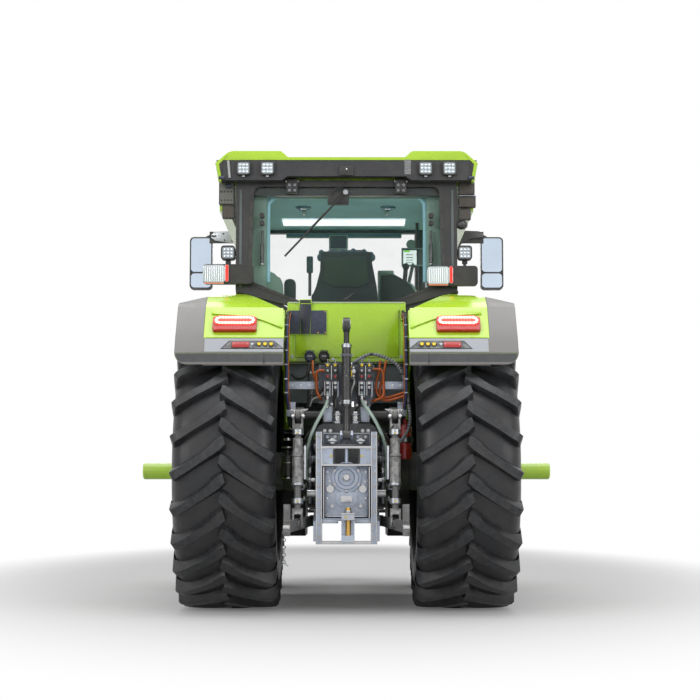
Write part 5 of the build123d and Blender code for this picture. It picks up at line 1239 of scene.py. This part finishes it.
# Fire extinguisher: its strap and clip
vessel = Shape()
vessel.bar((0.425, -0.250, (1.20, 1.245)), 0.0605, black_plastic)
vessel.block((0.413, -0.320, 1.205), (0.437, -0.308, 1.24), zinc, 0.002)
vessel.finish("extinguisher_strap", "chassis", "red_vessel")

chain = Shape()
for k in range(9):
    z = 0.560 - 0.026 * k
    turn = Matrix.Rotation(pi / 2 * (k % 2), 4, "Z") @ Matrix.Rotation(pi / 2, 4, "X")
    chain.hoop(Matrix.Translation((-0.440, at(-0.50), z)) @ turn, 0.011, 0.0035, zinc, 12, 6)
chain.rod((-0.440, -0.50, 0.56), (-0.440, -0.47, 0.70), 0.006, zinc, steps=8)
chain.pipe([(-0.47, -0.50, 0.325), (-0.44, -0.50, 0.345), (-0.41, -0.50, 0.325)], 0.005, zinc, 8)
chain.finish("chain", "chassis", "hitch_steel")


# Fender faces, roof edge and the fuller parts of the hitch

shell = Shape()
for side in (-1, 1):
    face = on_lamp_face(side * 0.70, LAMP_Z)
    brow = [(-0.955, 2.092), (-0.90, 2.090), (-0.80, 2.083), (-0.68, 2.070), (-0.60, 2.052), (-0.52, 2.020),
            (-0.462, 1.985), (-0.448, 1.990), (-0.448, 2.138), (-0.955, 2.138)]
    brow = [(side * (-x - 0.70), (z - LAMP_Z) / SLOPE_COS) for x, z in brow]
    shell.prism(brow[::-side], face, 0.011, lime, 0.005)
    # light grey sheet on the lower panel: its own grey, partly a painted highlight
    shell.prism([(-0.274, -0.058), (0.274, -0.058), (0.274, 0.058), (-0.274, 0.058)], on_panel(side * 0.715), 0.0018,
                panel_grey_and_highlight, 0.0005, 1)
    edge = facing((side * 0.8, at(-0.795), 1.765), (0, -1, -0.115))
    dark = [(-0.358, -0.038), (0.30, -0.038), (0.345, -0.030), (0.376, -0.008), (0.390, 0.038), (-0.358, 0.038)]
    dark = [(side * x, y) for x, y in dark]
    shell.prism(dark[::side], edge @ Matrix.Translation((0, 0, 0.0035)), 0.0022, band_grey, 0.0008, 1)
    shell.block((side * 0.573 - 0.0015, -0.8045, 1.727), (side * 0.573 + 0.0015, -0.790, 1.806), black_plastic, 0)
    corner = [(0.886, 3.352), (0.975, 3.277), (0.9545, 3.205), (0.951, 3.140), (0.928, 3.140), (0.933, 3.205),
              (0.950, 3.270), (0.876, 3.334)]
    shell.plate(corner, -0.060, 0.092, lime, 0.004, side=side)
shell.block((-0.437, -0.100, 2.160), (0.437, -0.050, 2.243), lime, 0.006)
shell.block((-0.430, -0.104, 2.236), (0.430, -0.050, 2.246), zinc, 0.002)
shell.finish("fender_faces", "chassis", "lime_paint")

inner = Shape()
inner.block((-0.152, COVER - 0.003, 0.672), (0.152, -0.425, 1.022), hitch_paint, 0.004)
for side in (-1, 1):
    inner.block((side * 0.405 - 0.034, -0.192, 1.395), (side * 0.405 + 0.034, -0.180, 1.500), hitch_paint, 0.003)
    wing = [(0.195, 1.640), (0.425, 1.640), (0.428, 1.585), (0.195, 1.585)]
    inner.plate(wing, -0.300, 0.014, hitch_paint, 0.003, side=side)
    for x in (0.27, 0.33, 0.39):
        screw(inner, back_of(side * x, -0.314, 1.612), 0.008, bright_steel)
    # brake and lift cylinders, clamps and castings between the housing and the tyres
    for z, r, y in ((1.16, 0.038, -0.26), (1.08, 0.030, -0.30), (0.90, 0.042, -0.24), (0.80, 0.032, -0.22)):
        inner.bar(((side * 0.208, side * 0.300), y, z), r, valve_steel)
        inner.bar(((side * 0.300, side * 0.312), y, z), r * 0.6, bright_steel, steps=6)
        inner.bar(((side * 0.24, side * 0.25), y, z), r + 0.006, zinc)
    inner.bar((side * 0.262, -0.30, (0.76, 1.28)), 0.024, valve_steel)
    inner.bar((side * 0.262, -0.30, (0.98, 1.02)), 0.030, bright_steel)
    inner.block((side * 0.345 - 0.045, -0.20, 0.86), (side * 0.345 + 0.045, -0.14, 1.22), casting, 0.012)
    for z in (0.90, 0.98, 1.10, 1.18):
        screw(inner, back_of(side * 0.345, -0.200, z), 0.012, bright_steel)
    inner.pipe([(side * 0.24, -0.36, 1.30), (side * 0.30, -0.37, 1.22), (side * 0.33, -0.33, 1.08),
                (side * 0.31, -0.28, 0.94), (side * 0.24, -0.25, 0.86)], 0.010, black_plastic)
inner.bar((-0.425, -0.250, (1.215, 1.235)), 0.030, bright_steel)
for z in (1.16, 1.05, 0.94):
    inner.bar((-0.425, -0.250, (z, z + 0.012)), 0.0475, bright_steel)
# orange and black lines beside the valves
inner.pipe([(0.245, -0.360, 1.790), (0.232, -0.372, 1.700), (0.212, -0.375, 1.600), (0.235, -0.370, 1.525),
            (0.300, -0.360, 1.500), (0.438, -0.34, 1.540)], 0.0095, orange_hose)
inner.pipe([(0.285, -0.350, 1.790), (0.268, -0.352, 1.690), (0.240, -0.358, 1.580), (0.275, -0.350, 1.520),
            (0.438, -0.33, 1.566)], 0.0095, orange_hose)
inner.pipe([(-0.245, -0.350, 1.790), (-0.240, -0.362, 1.700), (-0.215, -0.366, 1.620), (-0.208, -0.35, 1.52)], 0.0085,
           orange_hose)
inner.pipe([(-0.40, -0.20, 1.70), (-0.355, -0.30, 1.660), (-0.29, -0.34, 1.680), (-0.27, -0.34, 1.775)], 0.008,
           black_plastic)
inner.pipe([(-0.285, -0.33, 1.46), (-0.262, -0.36, 1.530), (-0.20, -0.372, 1.555), (-0.16, -0.372, 1.60)], 0.007,
           black_plastic)
inner.pipe([(-0.265, -0.34, 1.46), (-0.24, -0.37, 1.510), (-0.19, -0.378, 1.53), (-0.12, -0.38, 1.60)], 0.007,
           plate_grey)
inner.bar(((-0.265, -0.200), -0.350, 1.700), 0.010, plate_grey)
for k, x in enumerate((-0.155, -0.118, -0.100, -0.060, 0.090, 0.128, 0.145, 0.182)):
    inner.rod((x, -0.475, 1.628), (x, -0.462, 1.530), 0.0065, hitch_paint if k % 2 else bright_steel, steps=10)
for k in range(12):
    x = -0.165 + 0.03 * k
    inner.rod((x, -0.445, 1.455 + 0.015 * cos(3 * k)), (x, -0.435, 1.485 + 0.02 * cos(2 * k)), 0.010,
              bright_steel if k % 3 else black_plastic, steps=8)
inner.pipe([(0.048, -0.45, 1.66), (0.055, -0.49, 1.62), (0.035, -0.49, 1.56), (0.02, -0.47, 1.50)], 0.0075, plate_grey)
inner.pipe([(0.030, -0.46, 1.735), (0.022, -0.49, 1.715), (0.036, -0.49, 1.69), (0.026, -0.49, 1.66)], 0.008, yellow)
inner.bar((0.052, (-0.50, -0.47), 1.700), 0.014, bright_steel)
inner.finish("hitch_fillings", "chassis", "hitch_steel")

heads = Shape()
for side in (-1, 1):
    for dx in (-0.036, 0.036):
        heads.ball((side * ROD_X + dx, -0.772, 1.366), 0.0165, bright_steel, 12)
    heads.block((side * ROD_X - 0.050, -0.735, 1.402), (side * ROD_X + 0.050, -0.64, 1.416), zinc, 0.004)
    head = [(0.265, 1.425), (0.385, 1.425), (0.385, 1.405), (0.30, 1.400)]
    heads.plate(head, -0.60, 0.04, zinc, 0.003, side=side)
heads.finish("lift_arm_heads", "lift_arms", "link_steel")

# Wheels: studs and hub caps, turning with their rims


def wheel_fittings(name, body, centre, disc, studs, circle, hub=None):
    """Studs on a circle of the disc, that far out from the tyre's middle, and a cap given as (radius, distance)."""
    shape = Shape()
    side = 1 if centre.x > 0 else -1
    for k in range(studs):
        a = 2 * pi * k / studs
        place = facing(centre + Vector((side * disc, circle * cos(a), circle * sin(a))), (side, 0, 0))
        screw(shape, place, 0.014, zinc, 0.016)
        shape.rod(place @ Vector((0, 0, 0.016)), place @ Vector((0, 0, 0.030)), 0.008, bright_steel, steps=10)
    if hub:
        cap = facing(centre + Vector((side * hub[1], 0, 0)), (side, 0, 0))
        shape.lathe([(hub[0], 0), (hub[0], 0.010), (hub[0] * 0.8, 0.018), (0, 0.020)], cap, lime_wheel, 32)
        for k in range(6):
            a = pi / 3 * k
            screw(shape, cap @ Matrix.Translation((hub[0] * 0.7 * cos(a), hub[0] * 0.7 * sin(a), 0.017)), 0.009, zinc)
    shape.finish(name, body, "wheel_paint")


for side, word in ((-1, "left"), (1, "right")):
    wheel_fittings(f"rear_wheel_studs_{word}", f"rear_wheel_{word}", wheel_centre(side * REAR_WHEEL_X, REAR_AXLE),
                   0.1302, 10, 0.235)
    wheel_fittings(f"front_wheel_studs_{word}", f"front_wheel_{word}", wheel_centre(side * FRONT_WHEEL_X, FRONT_AXLE),
                   0.005, 10, 0.175, (0.09, 0.130))


# Cab sides: treads of the steps, and the holes and rims of the exhaust's shield
EXHAUST = (0.640, 1.990)
sides = Shape()
for side in (-1, 1):
    for n, (z, x) in enumerate(((0.450, 0.985), (0.700, 0.930), (0.960, 0.880), (1.215, 0.830))):
        inner_x = max(0.690, x - 0.190)
        for k in range(9):
            y = 1.320 + 0.055 * k
            sides.block((side * (inner_x + x) / 2 - 0.075, y, z + 0.027), (side * (inner_x + x) / 2 + 0.075, y + 0.02,
                                                                           z + 0.033), zinc, 0.001)
        sides.block((side * x - 0.004, 1.31, z), (side * x + 0.004, 1.79, z + 0.03), zinc, 0.002)
for row in range(9):
    z = 1.62 + 0.1 * row
    for k in range(10):
        a = 2 * pi * k / 10 + (0.3 if round(z * 10) % 2 else 0)
        place = facing((EXHAUST[0] + 0.080 * cos(a), at(EXHAUST[1]) + 0.080 * sin(a), z), (cos(a), sin(a), 0))
        sides.prism(rounded(0.016, 0.055, 0.0075, 3), place, 0.0012, exhaust_hole, 0)
for z in (2.52, 1.53):
    sides.lathe([(0.082, 0), (0.082, 0.012), (0.079, 0.012), (0.079, 0)], Matrix.Translation((EXHAUST[0],
                                                                                              at(EXHAUST[1]), z)), zinc,
                32, closed=True)
sides.finish("cab_side_fittings", "chassis", "cab_black")

# Doors: handles, hinges and grab rails
for side, word in ((-1, "left"), (1, "right")):
    door = Shape()
    x = side * 0.828
    door.block((x - 0.010, 1.665, 1.855), (x + 0.016, 1.705, 1.975), black_plastic, 0.006)
    for z in (1.578, 2.618):
        door.block((x - 0.006, 1.048, z - 0.03), (x + 0.012, 1.130, z + 0.03), black_plastic, 0.004)
        for dz in (0.012, -0.012):
            screw(door, facing((x + side * 0.010, at(1.10), z + dz), (side, 0, 0)), 0.007, zinc)
    door.pipe([(side * 0.782, 1.10, 1.62), (side * 0.765, 1.12, 1.66), (side * 0.765, 1.40, 1.80),
               (side * 0.782, 1.44, 1.82)], 0.010, trim_plastic)
    door.finish(f"door_fittings_{word}", f"door_{word}", "black_plastic")

# Hood: lamps, side vents and seams


def hood_half(forward):
    """Half the hood's width at that distance ahead of the rear axle."""
    return 0.350 - 0.012 * (forward - 2.45) / 1.15


hood = Shape()
for x in (-0.150, 0.150):
    place = facing((x, at(4.003), 1.570), AHEAD)
    hood.prism(rounded(0.156, 0.070, 0.024, 5), place, 0.004, reflector, 0.002)
    for k in (-1, 0, 1):
        cup = place @ Matrix.Translation((0.047 * k, 0, 0.0045))
        hood.lathe([(0.021, 0), (0.020, 0.004), (0.012, 0.001), (0, 0)], cup, black_plastic, 20)
        hood.lathe([(0.012, 0.001), (0.009, 0.005), (0, 0.007)], cup, diode, 14)
for side in (-1, 1):
    for k in range(12):
        y = 2.62 + 0.075 * k
        place = facing((side * (hood_half(y) + 0.0003), at(y), 1.60), (side, 0, 0))
        hood.prism(rounded(0.042, 0.20, 0.018, 4), place, 0.0025, black_plastic, 0.001)
        hood.prism(rounded(0.006, 0.16, 0.002, 2), place @ Matrix.Translation((0.010, 0, 0.0025)), 0.003, casting, 0)
    hood.rod((side * hood_half(2.45), 2.45, 1.755), (side * hood_half(3.58), 3.58, 1.740), 0.004, black_plastic,
             steps=8)
hood.finish("hood_fittings", "hood", "black_plastic")


# Lift housing, and the front wiper on the cab's cross rail

upper = Shape()
for x in (-0.155, -0.115, 0.115, 0.155):
    for z, y in ((1.280, -0.430), (1.375, -0.330), (1.440, -0.330)):
        screw(upper, back_of(x, y, z), 0.009, bright_steel if z < 1.4 else zinc)
for x in (-0.1325, 0.1325):
    upper.block((x - 0.0325, -0.342, 1.345), (x + 0.0325, -0.328, 1.460), hitch_paint, 0.004)
upper.block((-0.168, -0.440, 1.175), (0.168, -0.428, 1.265), valve_steel, 0.006)
for k in range(6):
    upper.bar((-0.135 + 0.054 * k, (-0.450, -0.430), 1.235), 0.012, zinc if k % 2 else hitch_paint, steps=12)
for x in (-0.100, 0.100):
    upper.bar((x, (-0.475, -0.435), 1.205), 0.022, bright_steel)
    upper.bar(((x - 0.03, x + 0.03), -0.468, 1.205), 0.011, zinc)
upper.finish("lift_housing_fittings", "chassis", "casting_grey")

front = Shape()
front.bar((0.0, (1.790, 1.835), 3.090), 0.018, black_plastic)
front.pipe([(0.0, 1.828, 3.09), (-0.10, 1.830, 2.86), (-0.16, 1.822, 2.60)], 0.009, black_plastic)
front.rod((-0.12, 1.800, 2.84), (-0.24, 1.800, 2.34), 0.008, black_plastic)
front.finish("front_wiper", "chassis", "cab_black")


# Stage, lights and camera


def in_view(tree):
    """1 for what the camera sees, also in metal and through glass, and 0 for the light on the tractor."""
    path = node(tree, "ShaderNodeLightPath").outputs
    seen = math(tree, "MAXIMUM", path["Is Camera Ray"], path["Is Transmission Ray"])
    return math(tree, "MAXIMUM", seen, path["Is Glossy Ray"])


# The floor near the tractor is painted shadow grey, in a long pool where its real shadows also show, and it turns plain
# white further off
SHADOW_POOL_ACROSS, SHADOW_POOL_ALONG, SHADOW_POOL_MIDDLE = 4.8, 12.0, 5.0
floor_material, tree, floor_shader = new_material("studio_floor")
# grey base colour: the painted shadow pool near the tractor
set_inputs(floor_shader, {"Base Color": (0.42, 0.42, 0.42, 1), "Roughness": 0.9})
place = node(tree, "ShaderNodeSeparateXYZ", {0: node(tree, "ShaderNodeTexCoord").outputs["Object"]})
across = math(tree, "MULTIPLY", place.outputs["X"], 1 / SHADOW_POOL_ACROSS)
along = math(tree, "MULTIPLY", math(tree, "ADD", place.outputs["Y"], -SHADOW_POOL_MIDDLE), 1 / SHADOW_POOL_ALONG)
away = math(tree, "ADD", math(tree, "MULTIPLY", across, across), math(tree, "MULTIPLY", along, along))
seen = in_view(tree)
white = node(tree, "ShaderNodeEmission", {"Color": (1, 1, 1, 1), "Strength": 1.0})
far = node(tree, "ShaderNodeMapRange", {"Value": away, "From Min": 0.15, "From Max": 1.0}, clamp=True,
           interpolation_type="SMOOTHSTEP").outputs["Result"]
mixed = node(tree, "ShaderNodeMixShader", {0: math(tree, "MULTIPLY", seen, far), 1: floor_shader.outputs[0],
                                           2: white.outputs[0]})
tree.links.new(mixed.outputs[0], tree.nodes["Material Output"].inputs["Surface"])
floor_mesh = bpy.data.meshes.new("studio_floor")
floor_mesh.from_pydata([(-60, -40, 0), (60, -40, 0), (60, 120, 0), (-60, 120, 0)], [], [(0, 1, 2, 3)])
floor_mesh.materials.append(floor_material)
floor = new_object("studio_floor", floor_mesh)


def area_light(name, place, target, size, power):
    data = bpy.data.lights.new(name, "AREA")
    data.shape = "RECTANGLE"
    data.size, data.size_y = size
    data.energy = power
    made = new_object(name, data)
    made.location = place
    made.rotation_euler = (Vector(target) - Vector(place)).to_track_quat("-Z", "Y").to_euler()


area_light("overhead", (0, -1.0, 9.0), (0, -0.6, 0), (9, 9), 700)
area_light("behind_left", (-6.5, -9.0, 5.0), (0, -1, 1.2), (3, 4), 240)
area_light("behind_right", (6.5, -9.0, 5.0), (0, -1, 1.2), (3, 4), 240)
area_light("ahead", (0, 11.0, 6.0), (0, 1, 1.2), (8, 4), 420)

world = bpy.data.worlds.new("studio")
world.use_nodes = True
tree = world.node_tree
background = tree.nodes["Background"]
strength = spread(tree, in_view(tree), 0.0, 1.0, 0.45, 1.0)
background.inputs["Color"].default_value = (1, 1, 1, 1)
tree.links.new(strength, background.inputs["Strength"])
bpy.context.scene.world = world

# The camera stands where the photograph was taken from, fitted to the wheels, bar axle ends and roof
PHOTO_SIDE = 700
FOCUS_PIXELS = 1621.6
CAMERA_BACK = 12.0
CAMERA_HEIGHT = 0.788
PITCH = atan(150 / FOCUS_PIXELS)
YAW = atan(3.5 / FOCUS_PIXELS)
camera_data = bpy.data.cameras.new("photo_camera")
camera_data.sensor_width = 36
camera_data.lens = FOCUS_PIXELS * camera_data.sensor_width / PHOTO_SIDE
camera_data.clip_end = 300
camera = new_object("photo_camera", camera_data)
camera.location = (0, REAR_AXLE.y - CAMERA_BACK, CAMERA_HEIGHT)
camera.rotation_euler = (pi / 2 + PITCH, 0, -YAW)
bpy.context.scene.camera = camera
bpy.context.scene.view_settings.view_transform = "Standard"
